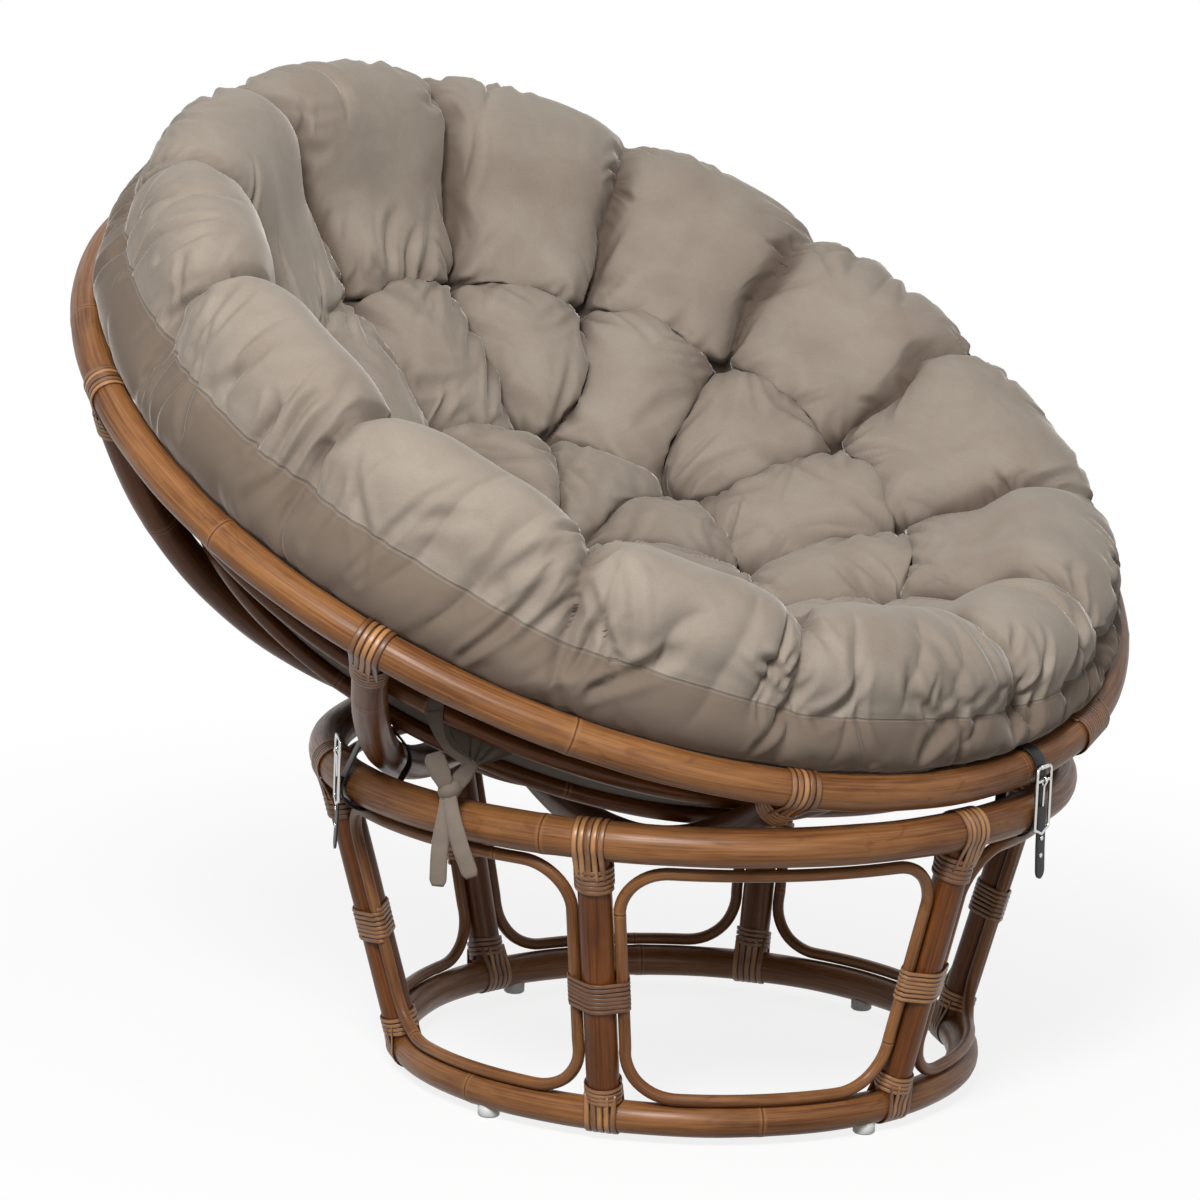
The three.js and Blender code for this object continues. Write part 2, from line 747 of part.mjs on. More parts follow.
// The tie's neck, knot and two tails, drawn from the middle of the thin ring with z along the ring
function tieGeometry(ringRoom) {
  const hang = (fromUp, length, degrees) =>
    new THREE.BoxGeometry(tieThickness, length, tieWidth)
      .translate(0, -length / 2, 0)
      .rotateX(radians(degrees))
      .translate(0, fromUp, 0);
  const neck = hang(-ringRoom, tieDrop - ringRoom, 0);
  const knot = new THREE.SphereGeometry(tieKnotRadius, bindingSides, wireSides).translate(0, -tieDrop, 0);
  const tails = [tieTailSpread, -tieTailSpread].map((spread) => hang(-tieDrop, tieTailLength, spread));
  return join(neck, knot, ...tails);
}

// Assembly

function mesh(name, geometry, finish) {
  const made = new THREE.Mesh(geometry, new THREE.MeshStandardMaterial(finish));
  made.name = name;
  return made;
}

function turned(piece, degrees) {
  piece.rotation.z = radians(degrees);
  return piece;
}

function buildBase() {
  const base = new THREE.Group();
  base.rotation.z = radians(postTurn);
  const topRing = ring(baseTopRadius, baseTopPole, ringSegments, poleSides);
  const bottomRing = ring(baseBottomRadius, baseBottomPole, ringSegments, poleSides);
  base.add(mesh("base_top_ring", topRing.translate(0, 0, topRingHeight), rattan));
  base.add(mesh("base_bottom_ring", bottomRing.translate(0, 0, bottomRingHeight), rattan));
  const post = postGeometry();
  const topWrap = postTopWrapGeometry();
  const midWrap = midWrapGeometry();
  const loop = loopGeometry();
  const step = 360 / postCount;
  for (let i = 0; i < postCount; i++) {
    const number = i + 1;
    base.add(turned(mesh("post_" + number, post, rattanDark), i * step));
    base.add(turned(mesh("post_top_wrap_" + number, topWrap, cane), i * step));
    base.add(turned(mesh("post_mid_wrap_" + number, midWrap, cane), i * step));
    base.add(turned(mesh("window_loop_" + number, loop, rattan), (i + 1 / 2) * step));
  }
  glideTurns.forEach((turn, i) => base.add(mesh("glide_" + (i + 1), glideGeometry(turn), plastic)));
  return base;
}

function buildBowl() {
  const bowl = new THREE.Group();
  bowl.rotation.x = radians(bowlTilt);
  bowl.position.set(0, rimDrop * Math.sin(radians(bowlTilt)), sphereHeight - rimDrop * Math.cos(radians(bowlTilt)));
  bowl.add(mesh("bowl_rim", ring(rimRadius, rimPole, rimSegments, poleSides), rattan));
  const hub = ring(hubRadius, hubPole, hubSegments, hubSides).translate(0, 0, hubRise);
  bowl.add(mesh("bowl_hub_ring", hub, rattanDark));
  innerRingRadii.forEach((radius, i) => {
    const inner = ring(radius, innerPole, rimSegments, innerSides).translate(0, 0, innerRingRise(radius));
    bowl.add(mesh("bowl_inner_ring_" + (i + 1), inner, rattanDark));
  });
  const rib = ribGeometry();
  const wrap = ribWrapGeometry(rimCollarWidth);
  const splice = ribWrapGeometry(rimSpliceLength);
  const step = 360 / ribCount;
  for (let i = 0; i < ribCount; i++) {
    const turn = (i + 1 / 2) * step;
    bowl.add(turned(mesh("rib_" + (i + 1), rib, rattanDark), turn));
    bowl.add(turned(mesh("rib_wrap_" + (i + 1), i === rimSpliceRib ? splice : wrap, cane), turn));
  }
  bowl.add(mesh("cushion", cushionGeometry(), velvet));
  return bowl;
}

// A point of a ring of the bowl, and the ring's direction there, in the chair's frame
function bowlRingAt(bowl, radius, rise, degrees) {
  const angle = radians(degrees);
  return {
    point: new THREE.Vector3(radius * Math.sin(angle), -radius * Math.cos(angle), rise).applyMatrix4(bowl.matrix),
    along: new THREE.Vector3(Math.cos(angle), Math.sin(angle), 0).transformDirection(bowl.matrix),
  };
}

function baseRingAt(degrees) {
  const angle = radians(degrees);
  return {
    point: new THREE.Vector3(baseTopRadius * Math.sin(angle), -baseTopRadius * Math.cos(angle), topRingHeight),
    along: new THREE.Vector3(Math.cos(angle), Math.sin(angle), 0),
    radius: baseTopPole,
  };
}

// The bowl angle at which the rim passes over a direction of the base
function rimAngleOver(degrees) {
  const angle = radians(degrees);
  const tilt = radians(bowlTilt);
  const sine = rimRadius * Math.cos(angle);
  const cosine = rimRadius * Math.cos(tilt) * Math.sin(angle);
  const shift = rimDrop * Math.sin(tilt) * Math.sin(angle);
  return THREE.MathUtils.radToDeg(Math.atan2(cosine, sine) - Math.asin(shift / Math.hypot(sine, cosine)));
}

// Where a rib lies on the base's ring: the rib's point and direction there
function ribOverBase(bowl, rib) {
  const turn = ((rib + 1 / 2) * 2 * Math.PI) / ribCount;
  const tilt = radians(bowlTilt);
  const lean = Math.sin(tilt) * Math.cos(turn);
  const reach = Math.sqrt(1 - (baseTopRadius / seatReach) ** 2) / Math.hypot(Math.cos(tilt), lean);
  const angle = Math.atan2(lean, Math.cos(tilt)) + Math.acos(reach);
  const spin = new THREE.Quaternion().setFromAxisAngle(zAxis, turn);
  const along = new THREE.Vector3(0, -Math.cos(angle), Math.sin(angle)).applyQuaternion(spin);
  return {
    point: ribPoint(angle).applyQuaternion(spin).applyMatrix4(bowl.matrix),
    along: along.transformDirection(bowl.matrix),
    radius: ribPole + ribSag,
  };
}

function buildStraps(bowl) {
  const straps = new THREE.Group();
  const heldRib = ribOverBase(bowl, leftStrapRib);
  const heldRibTurn = THREE.MathUtils.radToDeg(Math.atan2(heldRib.point.x, -heldRib.point.y));
  const rim = { ...bowlRingAt(bowl, rimRadius, 0, rimAngleOver(rightStrapTurn)), radius: rimPole };
  const frames = {
    right: beltFrame(baseRingAt(rightStrapTurn), rim),
    left: beltFrame(baseRingAt(heldRibTurn), heldRib),
  };
  Object.entries(frames).forEach(([side, frame]) => {
    const placed = new THREE.Group();
    placed.position.copy(frame.point);
    placed.quaternion.copy(frame.turn);
    placed.add(mesh("strap_" + side, strapGeometry(frame), leather));
    const buckle = mesh("buckle_" + side, buckleGeometry(), steel);
    buckle.position.set(buckleOut(frame), buckleRise, 0);
    placed.add(buckle);
    const prong = mesh("prong_" + side, prongGeometry(), steel);
    prong.position.set(buckleOut(frame), buckleRise + buckleLength / 2 - buckleBarDrop, 0);
    placed.add(prong);
    straps.add(placed);
  });
  return straps;
}

function buildTie(bowl) {
  const held = bowlRingAt(bowl, innerRingRadii[0], innerRingRise(innerRingRadii[0]), tieTurn);
  const across = held.along.clone().projectOnPlane(zAxis).normalize();
  const square = held.along.dot(across);
  const skew = Math.sqrt(1 - square * square) / square;
  const ringRoom = innerPole / square + (tieWidth / 2) * skew + touchGap;
  const out = zAxis.clone().cross(across);
  const tie = mesh("cushion_tie", tieGeometry(ringRoom), velvet);
  tie.position.copy(held.point);
  tie.quaternion.setFromRotationMatrix(new THREE.Matrix4().makeBasis(out, zAxis, across));
  return tie;
}

const base = buildBase();
const bowl = buildBowl();
bowl.updateMatrix();
const chair = new THREE.Group();
chair.add(base, bowl, buildStraps(bowl), buildTie(bowl));

// The chair stands on the floor, with the middle of its outline over the origin
chair.updateMatrixWorld(true);
const outline = new THREE.Box3().setFromObject(chair, true);
const middle = outline.getCenter(new THREE.Vector3());
chair.position.set(-middle.x, -middle.y, -outline.min.z);

const part = new THREE.Group();
part.add(chair);

export default part;
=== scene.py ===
"""Papasan chair, dressed for the render: rattan poles with cane bindings, a tufted velvet cushion,
belts with wire buckles and a tie. Metres, +Z up, the low front edge of the bowl towards -Y."""

import json
import math
import random

import bmesh
import bpy
import numpy as np
from bpy.props import FloatProperty, FloatVectorProperty, IntProperty, PointerProperty
from mathutils import Matrix, Vector

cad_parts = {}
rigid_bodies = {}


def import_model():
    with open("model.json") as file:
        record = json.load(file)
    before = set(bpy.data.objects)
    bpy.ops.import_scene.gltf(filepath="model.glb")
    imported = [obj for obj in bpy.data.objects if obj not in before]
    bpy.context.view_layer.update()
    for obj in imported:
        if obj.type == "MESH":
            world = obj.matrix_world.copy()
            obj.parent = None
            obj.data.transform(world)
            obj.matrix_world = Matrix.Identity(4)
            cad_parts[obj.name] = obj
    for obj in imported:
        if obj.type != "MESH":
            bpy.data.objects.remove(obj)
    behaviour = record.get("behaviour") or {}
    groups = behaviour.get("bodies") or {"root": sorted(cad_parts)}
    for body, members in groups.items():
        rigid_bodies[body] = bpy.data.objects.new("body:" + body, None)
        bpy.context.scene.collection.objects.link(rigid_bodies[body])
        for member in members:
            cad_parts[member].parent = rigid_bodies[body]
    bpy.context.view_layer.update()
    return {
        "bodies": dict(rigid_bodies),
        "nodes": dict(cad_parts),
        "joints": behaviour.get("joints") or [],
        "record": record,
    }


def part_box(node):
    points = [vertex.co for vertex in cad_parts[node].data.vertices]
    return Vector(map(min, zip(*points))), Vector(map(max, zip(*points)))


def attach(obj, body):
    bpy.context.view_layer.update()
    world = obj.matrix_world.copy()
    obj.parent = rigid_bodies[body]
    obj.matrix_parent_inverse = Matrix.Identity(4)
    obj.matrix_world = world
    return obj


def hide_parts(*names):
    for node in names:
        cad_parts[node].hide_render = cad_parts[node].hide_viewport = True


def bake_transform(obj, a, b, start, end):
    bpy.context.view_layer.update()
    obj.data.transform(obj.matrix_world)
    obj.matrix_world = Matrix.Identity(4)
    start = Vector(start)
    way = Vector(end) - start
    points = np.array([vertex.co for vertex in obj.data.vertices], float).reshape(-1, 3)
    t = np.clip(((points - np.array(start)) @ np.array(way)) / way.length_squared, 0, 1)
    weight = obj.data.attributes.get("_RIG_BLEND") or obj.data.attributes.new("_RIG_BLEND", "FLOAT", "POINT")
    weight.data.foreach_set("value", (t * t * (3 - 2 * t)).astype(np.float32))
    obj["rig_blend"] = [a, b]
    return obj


bl_info = {
    "name": "Papasan Chair",
    "version": (1, 0, 0),
    "blender": (4, 5, 0),
    "location": "View3D > Sidebar > Papasan",
    "description": "Builds a papasan chair of rattan, cane and velvet piece by piece",
    "category": "Add Mesh",
}

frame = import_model()


def middle_of(node):
    low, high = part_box(node)
    return (low + high) / 2


RING_MIDDLE = middle_of("base_top_ring")
FOOT_MIDDLE = middle_of("base_bottom_ring")
RIM_MIDDLE = middle_of("bowl_rim")
UP = Vector((0, 0, 1))

# Between a seated piece and what carries it
SEAT_GAP = 0.0003


# Sizes and colours

def length(name, description, default):
    return FloatProperty(name=name, description=description, default=default, unit="LENGTH", precision=4)


def angle(name, description, degrees):
    return FloatProperty(name=name, description=description, default=math.radians(degrees), subtype="ANGLE")


def share(name, description, default):
    return FloatProperty(name=name, description=description, default=default, subtype="FACTOR")


def power(name, description, default):
    return FloatProperty(name=name, description=description, default=default, unit="POWER")


def colour(name, description, red, green, blue):
    """A colour written as it looks, and kept as the linear numbers that the shaders use."""
    linear = [((c + 0.055) / 1.055) ** 2.4 if c > 0.04045 else c / 12.92 for c in (red, green, blue)]
    return FloatVectorProperty(name=name, description=description, default=(*linear, 1), subtype="COLOR",
                               size=4, min=0, max=1)


class BaseSizes(bpy.types.PropertyGroup):
    top_radius: length("Top ring", "Radius to the middle of the pole", 0.370)
    top_pole: length("Top ring pole", "Radius of the pole", 0.0198)
    bottom_radius: length("Bottom ring", "Radius to the middle of the pole", 0.2884)
    bottom_pole: length("Bottom ring pole", "Radius of the pole", 0.0166)
    posts: IntProperty(name="Posts", description="How many posts join the rings", default=6)
    post_turn: angle("First post", "From the front", -2)
    post_top: length("Post top", "Radius of a post at the top", 0.0173)
    post_bottom: length("Post foot", "Radius of a post at the foot", 0.0164)
    rod: length("Loop rod", "Radius of the window loops' rod", 0.0062)
    loop_top_corner: length("Loop top corner", "Radius of the bend", 0.044)
    loop_bottom_corner: length("Loop bottom corner", "Radius of the bend", 0.057)
    loop_slack: length("Loop slack", "Between a loop and the top ring", 0.005)
    mid_rise: length("Middle binding", "Height above the bottom ring", 0.136)
    mid_width: length("Middle binding width", "Along the post", 0.038)
    glide_radius: length("Glide", "Radius of a glide", 0.011)
    glide_chamfer: length("Glide chamfer", "At the floor", 0.0015)


class BowlSizes(bpy.types.PropertyGroup):
    tilt: angle("Tilt", "How far the bowl leans to the front", 25.9)
    rim_radius: length("Rim", "Radius to the middle of the pole", 0.555)
    rim_pole: length("Rim pole", "Radius of the pole", 0.0184)
    sphere: length("Rib sphere", "The ribs' and the rim's middles lie on it", 0.6325)
    rib_pole: length("Rib pole", "Radius of a rib", 0.0178)
    ribs: IntProperty(name="Ribs", description="How many ribs the bowl has", default=8)
    hub_radius: length("Hub ring", "Radius to the middle of the pole", 0.115)
    hub_pole: length("Hub pole", "Radius of the pole", 0.015)
    inner_pole: length("Thin ring pole", "Radius of the two thin rings' pole", 0.0085)
    inner_outer: length("Outer thin ring", "Radius to the middle of the pole", 0.465)
    inner_inner: length("Inner thin ring", "Radius to the middle of the pole", 0.396)
    inner_sphere: length("Thin rings' sphere", "Their middles lie on it", 0.6048)


class CaneSizes(bpy.types.PropertyGroup):
    width: length("Cane width", "Of one strip", 0.0059)
    thickness: length("Cane thickness", "Of one strip", 0.0014)
    collar: length("Collar", "Along a ring, over each joint", 0.033)
    collar_strips: IntProperty(name="Collar strips", description="Over each joint", default=5)
    post_sleeve: length("Post sleeve", "Down a post from the top ring", 0.032)
    foot_sleeve: length("Foot sleeve", "Up a post from the bottom ring", 0.024)
    rib_sleeve: length("Rib sleeve", "Down a rib from the rim", 0.030)
    splice: length("Splice", "Along the rim, over its joined ends", 0.066)
    splice_turns: IntProperty(name="Splice turns", description="Round the rim's joined ends", default=13)


class CushionSizes(bpy.types.PropertyGroup):
    sphere: length("Underside", "Radius of the sphere that it lies on", 0.5966)
    outer_tufts: IntProperty(name="Outer tufts", description="In the outer circle", default=13)
    outer_turn: angle("Outer tufts' turn", "From the front", 197)
    inner_tufts: IntProperty(name="Inner tufts", description="In the inner circle", default=8)
    inner_turn: angle("Inner tufts' turn", "From the front", 194)
    lift_front: length("Front lift", "How much the crown rises to the front", -0.016)
    lift_side: length("Side lift", "How much the crown rises to +X", -0.044)
    lean: length("Lean", "How much further out the crown stands on one side", 0.009)
    lean_turn: angle("Lean's turn", "From the front", -136)
    puff: length("Puff", "Height of the filling above the tufts", 0.052)
    pillow: length("Pillow", "How far from a crease the filling still rounds", 0.092)
    pit: length("Pit", "How much deeper a tuft lies than its creases", 0.014)
    wrinkle: length("Wrinkle depth", "Of the small wrinkles", 0.0062)
    grid: IntProperty(name="Grid", description="Squares across each side of the cover", default=104)
    pressure: FloatProperty(name="Pressure", description="Of the filling while the cover settles", default=4)
    settle: length("Settling", "How far the cover may move while it settles", 0.012)


class StrapSizes(bpy.types.PropertyGroup):
    width: length("Strap width", "Of the leather", 0.020)
    thickness: length("Strap thickness", "Of the leather", 0.0022)
    clearance: length("Clearance", "Round the poles", 0.0009)
    right_turn: angle("Right strap", "From the front", 13)
    left_rib: IntProperty(name="Left strap's rib", description="Counted from the front towards +X", default=6)
    tail: length("Tail", "Below the middle of the base's ring", 0.062)
    wire: length("Wire", "Radius of the buckles' wire", 0.0016)
    buckle_length: length("Buckle length", "Of the wire frame", 0.068)
    buckle_width: length("Buckle width", "Of the wire frame", 0.027)
    bar_drop: length("Bar drop", "From the top bar to the prong's bar", 0.014)
    prong: length("Prong", "Length of the prong", 0.026)
    prong_radius: length("Prong radius", "Of its wire", 0.0013)
    tie_turn: angle("Tie", "Where it hangs on the bowl", -60)
    tie_width: length("Tie width", "Of the band", 0.017)
    tie_drop: length("Tie drop", "From the ring to the knot", 0.062)
    tie_tail: length("Tie tails", "Below the knot", 0.098)


class Colours(bpy.types.PropertyGroup):
    rattan_light: colour("Rattan, light", "Lit stain of the poles", 0.62, 0.425, 0.255)
    rattan_dark: colour("Rattan, dark", "Deep stain of the poles", 0.33, 0.18, 0.085)
    post_light: colour("Posts, light", "Lit stain of the posts and ribs", 0.51, 0.29, 0.11)
    post_dark: colour("Posts, dark", "Deep stain of the posts and ribs", 0.24, 0.115, 0.03)
    node_light: colour("Nodes", "Pale band at a rattan node", 0.66, 0.47, 0.30)
    cane_light: colour("Cane, light", "Shiny skin of the cane", 0.74, 0.53, 0.33)
    cane_dark: colour("Cane, dark", "Stained edges of the cane", 0.36, 0.21, 0.11)
    velvet_light: colour("Velvet, light", "Nap towards the light", 0.665, 0.63, 0.58)
    velvet_dark: colour("Velvet, dark", "Nap away from the light", 0.535, 0.475, 0.425)
    leather: colour("Leather", "Of the belts", 0.060, 0.057, 0.054)
    steel: colour("Steel", "Of the buckles", 0.80, 0.80, 0.79)
    plastic: colour("Glides", "Of the moulded glides", 0.87, 0.88, 0.87)


class StageSettings(bpy.types.PropertyGroup):
    camera_place: FloatVectorProperty(
        name="Camera", description="Its place from the base's axis", unit="LENGTH",
        default=(-3.9744, -3.6226, 1.6090), precision=4)
    camera_aim: FloatVectorProperty(
        name="Aim", description="The way that the camera looks", subtype="DIRECTION",
        default=(0.7109, 0.6726, -0.2057), precision=4)
    camera_roll: angle("Roll", "Of the camera about its aim", 2.1726)
    lens: FloatProperty(
        name="Lens", description="Focal length on a 36 mm sensor", default=163.31, unit="CAMERA")
    key: power("Key lamp", "Power of the lamp at the left, in front", 172)
    low: power("Low lamp", "Power of the lamp low in front", 14)
    back: power("Back lamp", "Power of the lamp behind, to the right", 24)
    sky: share("Sky", "Strength of the light from all round", 0.19)
    floor: colour("Floor", "Plain pale floor", 0.985, 0.985, 0.985)
    floor_bounce: colour("Floor bounce", "The floor as the chair's underside sees it", 0.42, 0.41, 0.40)
    floor_reach: length("Floor reach", "Radius of the lit floor round the chair", 1.1)


# Shader trees

class Value:
    """A socket that takes part in sums: each sign adds its Math node."""

    def __init__(self, tree, socket):
        self.tree, self.socket = tree, socket

    def math(self, operation, *others):
        return self.tree.node("ShaderNodeMath", {"operation": operation}, dict(enumerate((self, *others))))

    def __add__(self, other):
        return self.math("ADD", other)

    def __sub__(self, other):
        return self.math("SUBTRACT", other)

    def __rsub__(self, other):
        return self.tree.node("ShaderNodeMath", {"operation": "SUBTRACT"}, {0: other, 1: self})

    def __mul__(self, other):
        return self.math("MULTIPLY", other)

    __radd__ = __add__
    __rmul__ = __mul__

    def size(self):
        return self.math("ABSOLUTE")

    def between(self, low, high):
        """0 below low, 1 above high, and smooth in between."""
        return self.tree.node("ShaderNodeMapRange", {"interpolation_type": "SMOOTHSTEP"},
                              {"Value": self, "From Min": low, "From Max": high})


class Tree:
    """The nodes of one material."""

    def __init__(self, name):
        self.material = bpy.data.materials.new(name)
        self.material.use_nodes = True
        self.tree = self.material.node_tree
        self.tree.nodes.clear()

    def node(self, kind, settings=None, inputs=None, output=0):
        made = self.tree.nodes.new(kind)
        for key, value in (settings or {}).items():
            setattr(made, key, value)
        for key, value in (inputs or {}).items():
            if isinstance(value, Value):
                self.tree.links.new(value.socket, made.inputs[key])
            else:
                made.inputs[key].default_value = value
        return Value(self, made.outputs[output])

    def attribute(self, name, output):
        return self.node("ShaderNodeAttribute", {"attribute_name": name}, output=output)

    def noise(self, vector, scale, detail=3, roughness=0.5, distortion=0):
        """Noise from about 0 to 1. The scale is one number, or three along the vector's axes."""
        if not isinstance(scale, (int, float)):
            vector = self.node("ShaderNodeMapping", {}, {"Vector": vector, "Scale": scale})
            scale = 1
        return self.node("ShaderNodeTexNoise", {}, {
            "Vector": vector, "Scale": scale, "Detail": detail, "Roughness": roughness,
            "Distortion": distortion})

    def mix(self, factor, a, b):
        return self.node("ShaderNodeMix", {"data_type": "RGBA"}, {0: factor, 6: a, 7: b}, output=2)

    def bump(self, height, strength, distance, below=None):
        inputs = {"Height": height, "Strength": strength, "Distance": distance}
        if below:
            inputs["Normal"] = below
        return self.node("ShaderNodeBump", {}, inputs)

    def surface(self, **inputs):
        named = {key.replace("_", " ").title().replace("Ior", "IOR"): value for key, value in inputs.items()}
        shader = self.node("ShaderNodeBsdfPrincipled", {}, named)
        return self.finish(shader)

    def finish(self, shader):
        out = self.tree.nodes.new("ShaderNodeOutputMaterial")
        self.tree.links.new(shader.socket, out.inputs["Surface"])
        return self.material


def darker(colour, *shares):
    """A colour times a share for each of its three channels, or times one share for all."""
    shares = shares * 3 if len(shares) == 1 else shares
    return [c * k for c, k in zip(colour, shares)] + [1]


def rattan_finish(name, light, dark, node_light):
    """Stained pole: streaks along it, stained patches, and a scar with a pale band at each node."""
    tree = Tree(name)
    pole = tree.attribute("pole", "Vector")
    joint = tree.attribute("joint", "Fac").size()
    streak = tree.noise(pole, (9, 420, 420), 4, 0.6)
    patch = tree.noise(pole, (7, 34, 34), 3, 0.6, 0.4)
    fine = tree.noise(pole, (30, 1500, 1500), 2)
    tone = (streak * 0.62 + patch * 0.62 + fine * 0.18 - 0.22).between(0.22, 0.78)
    wood = tree.mix(tone, dark, light)
    blot = tree.noise(pole, (26, 60, 60), 2, 0.5, 1.2).between(0.60, 0.76)
    wood = tree.mix(blot * 0.42, wood, dark)
    band = (1 - joint.between(0.0016, 0.0052)) * 0.34
    scar = 1 - joint.between(0.0004, 0.0011)
    wood = tree.mix(band, wood, node_light)
    wood = tree.mix(scar * 0.85, wood, dark)
    grain = tree.bump(streak * 0.6 + fine * 0.4, 0.22, 0.0008)
    normal = tree.bump(1 - scar, 0.7, 0.0009, grain)
    rough = 0.30 + 0.22 * (1 - tone)
    return tree.surface(base_color=wood, roughness=rough, normal=normal, coat_weight=0.06, coat_roughness=0.2,
                        specular_ior_level=0.24)


def cane_finish(colours):
    """Split cane: fibres along the strip, darker edges, and each strip a little lighter or darker."""
    tree = Tree("cane_binding")
    strip = tree.attribute("pole", "Vector")
    tone = tree.attribute("tone", "Fac")
    fibre = tree.noise(strip, (40, 1400, 300), 3, 0.6)
    patch = tree.noise(strip, (55, 55, 55), 2)
    edge = tree.attribute("edge", "Fac").between(0.45, 1)
    blend = (fibre * 0.5 + patch * 0.45 + tone * 0.55 - 0.28).between(0.05, 0.95)
    skin = tree.mix(blend, colours.cane_dark, colours.cane_light)
    skin = tree.mix(edge * 0.8, skin, darker(colours.cane_dark, 0.55))
    normal = tree.bump(fibre, 0.3, 0.0004)
    return tree.surface(base_color=skin, roughness=0.36 + 0.16 * (1 - fibre), normal=normal, coat_weight=0.15,
                        coat_roughness=0.25)


def velvet_finish(colours, form):
    """Short nap brushed in different ways, its lighter and darker patches painted sheen, with painted shade
    in the creases, on the side band below the upper seam and as a dark line along the sunk seam.
    """
    tree = Tree("velvet_cover")
    place = tree.node("ShaderNodeTexCoord", {}, {}, "Object")
    depth = tree.attribute("depth", "Fac")
    brushed = tree.noise(place, 6.5, 4, 0.55, 0.8)
    stroke = tree.noise(place, (26, 18, 30), 3, 0.6, 0.6)
    nap = tree.noise(place, 950, 2)
    # Random lean of the nap, shown as painted sheen: a mix of the lit and the shaded nap colour.
    lean = (brushed * 0.42 + stroke * 0.26 + nap * 0.30 + 0.01).between(0.12, 0.88)
    cloth = tree.mix(lean, colours.velvet_dark, colours.velvet_light)
    # Painted shade: the deeper a place lies in the creases and folds, the darker and browner the cloth.
    deep = depth.between(0.06, 0.9)
    cloth = tree.mix(deep * 0.85, cloth, darker(colours.velvet_dark, 0.34, 0.28, 0.24))
    flat = tree.attribute("flat", "Vector")
    reach = tree.node("ShaderNodeVectorMath", {"operation": "LENGTH"}, {0: flat}, "Value")
    # Painted shade: the side band below the upper seam is darker, as it faces away from the light above.
    side = reach.between(form.seam_reach - 0.001, form.seam_reach + 0.003)
    cloth = tree.mix(side * 0.8, cloth, darker(colours.velvet_dark, 0.58, 0.54, 0.50))
    # Painted shade: a thin dark line along the sunk upper seam; the bump below sinks the same line.
    seam_crease = 1 - (reach - form.seam_reach).size().between(0.0005, 0.0014)
    cloth = tree.mix(seam_crease * 0.55, cloth, darker(colours.velvet_dark, 0.4))
    fuzz = tree.bump(nap, 0.16, 0.0006)
    soft = tree.bump(stroke, 0.10, 0.004, fuzz)
    normal = tree.bump(1 - seam_crease, 0.6, 0.0012, soft)
    return tree.surface(base_color=cloth, roughness=0.82 + 0.12 * (1 - lean), normal=normal,
                        sheen_weight=0.45, sheen_roughness=0.36, sheen_tint=(0.95, 0.91, 0.85, 1),
                        specular_ior_level=0.22)


def leather_finish(colours):
    tree = Tree("belt_leather")
    place = tree.node("ShaderNodeTexCoord", {}, {}, "Object")
    grain = tree.node("ShaderNodeTexVoronoi", {}, {"Vector": place, "Scale": 900})
    worn = tree.noise(place, 60, 3).between(0.45, 0.85)
    lit = [min(1, c * 2.6 + 0.008) for c in colours.leather[:3]] + [1]
    skin = tree.mix(worn * 0.5, colours.leather, lit)
    return tree.surface(base_color=skin, roughness=0.42 + 0.2 * worn, normal=tree.bump(grain, 0.25, 0.0004),
                        specular_ior_level=0.28)


def steel_finish(colours):
    tree = Tree("bright_wire")
    place = tree.node("ShaderNodeTexCoord", {}, {}, "Object")
    scratch = tree.noise(place, (700, 700, 120), 2)
    dull = tree.mix(scratch.between(0.55, 0.8) * 0.3, colours.steel, darker(colours.steel, 0.7))
    return tree.surface(base_color=dull, metallic=1, roughness=0.14 + 0.14 * scratch,
                        normal=tree.bump(scratch, 0.05, 0.0002))


def plastic_finish(colours):
    tree = Tree("moulded_glide")
    place = tree.node("ShaderNodeTexCoord", {}, {}, "Object")
    scuff = tree.noise(place, 260, 3).between(0.5, 0.8)
    worn = tree.mix(scuff * 0.25, colours.plastic, darker(colours.plastic, 0.75))
    return tree.surface(base_color=worn, roughness=0.4 + 0.2 * scuff, normal=tree.bump(scuff, 0.1, 0.0004))


FINISHES = {}


def finish_of(name, context):
    """The material by its slot's name, made the first time that a piece asks for it."""
    c = context.scene.papasan_colours
    makers = {
        "rattan": lambda: rattan_finish("stained_rattan", c.rattan_light, c.rattan_dark, c.node_light),
        "rattan_dark": lambda: rattan_finish("dark_rattan", c.post_light, c.post_dark, c.node_light),
        "cane": lambda: cane_finish(c),
        "velvet": lambda: velvet_finish(c, cushion_form(context)),
        "leather": lambda: leather_finish(c),
        "steel": lambda: steel_finish(c),
        "glide_plastic": lambda: plastic_finish(c),
    }
    if name not in FINISHES:
        FINISHES[name] = makers[name]()
    return FINISHES[name]


# Paths. A path is two arrays, its points and the way out from the surface at each.

def distance_run(points):
    """How far along a polyline each of its points is."""
    return np.concatenate([[0], np.cumsum(np.linalg.norm(np.diff(points, axis=0), axis=1))])


def whole_run(points):
    return float(np.sum(np.linalg.norm(np.diff(points, axis=0), axis=1)))


def resampled(points, step, closed=False):
    """The points of a polyline, evenly spaced again."""
    points = np.asarray(points, float)
    if closed:
        points = np.vstack([points, points[:1]])
    run = distance_run(points)
    count = max(2, int(round(run[-1] / step)) + 1)
    at = np.linspace(0, run[-1], count)
    return np.column_stack([np.interp(at, run, points[:, k]) for k in range(points.shape[1])])


def circle_path(radius, height, step=0.006):
    """A circle round Z that starts at the back, with outs away from Z."""
    count = max(12, int(round(2 * math.pi * radius / step)))
    turn = np.linspace(0, 2 * math.pi, count + 1)
    out = np.column_stack([-np.sin(turn), np.cos(turn), np.zeros_like(turn)])
    return radius * out + [0, 0, height], out


def line_path(start, end, step=0.006):
    start, end = np.asarray(start, float), np.asarray(end, float)
    points = resampled([start, end], step)
    side = np.cross(end - start, [1, 0, 0])
    return points, np.tile(side / np.linalg.norm(side), (len(points), 1))


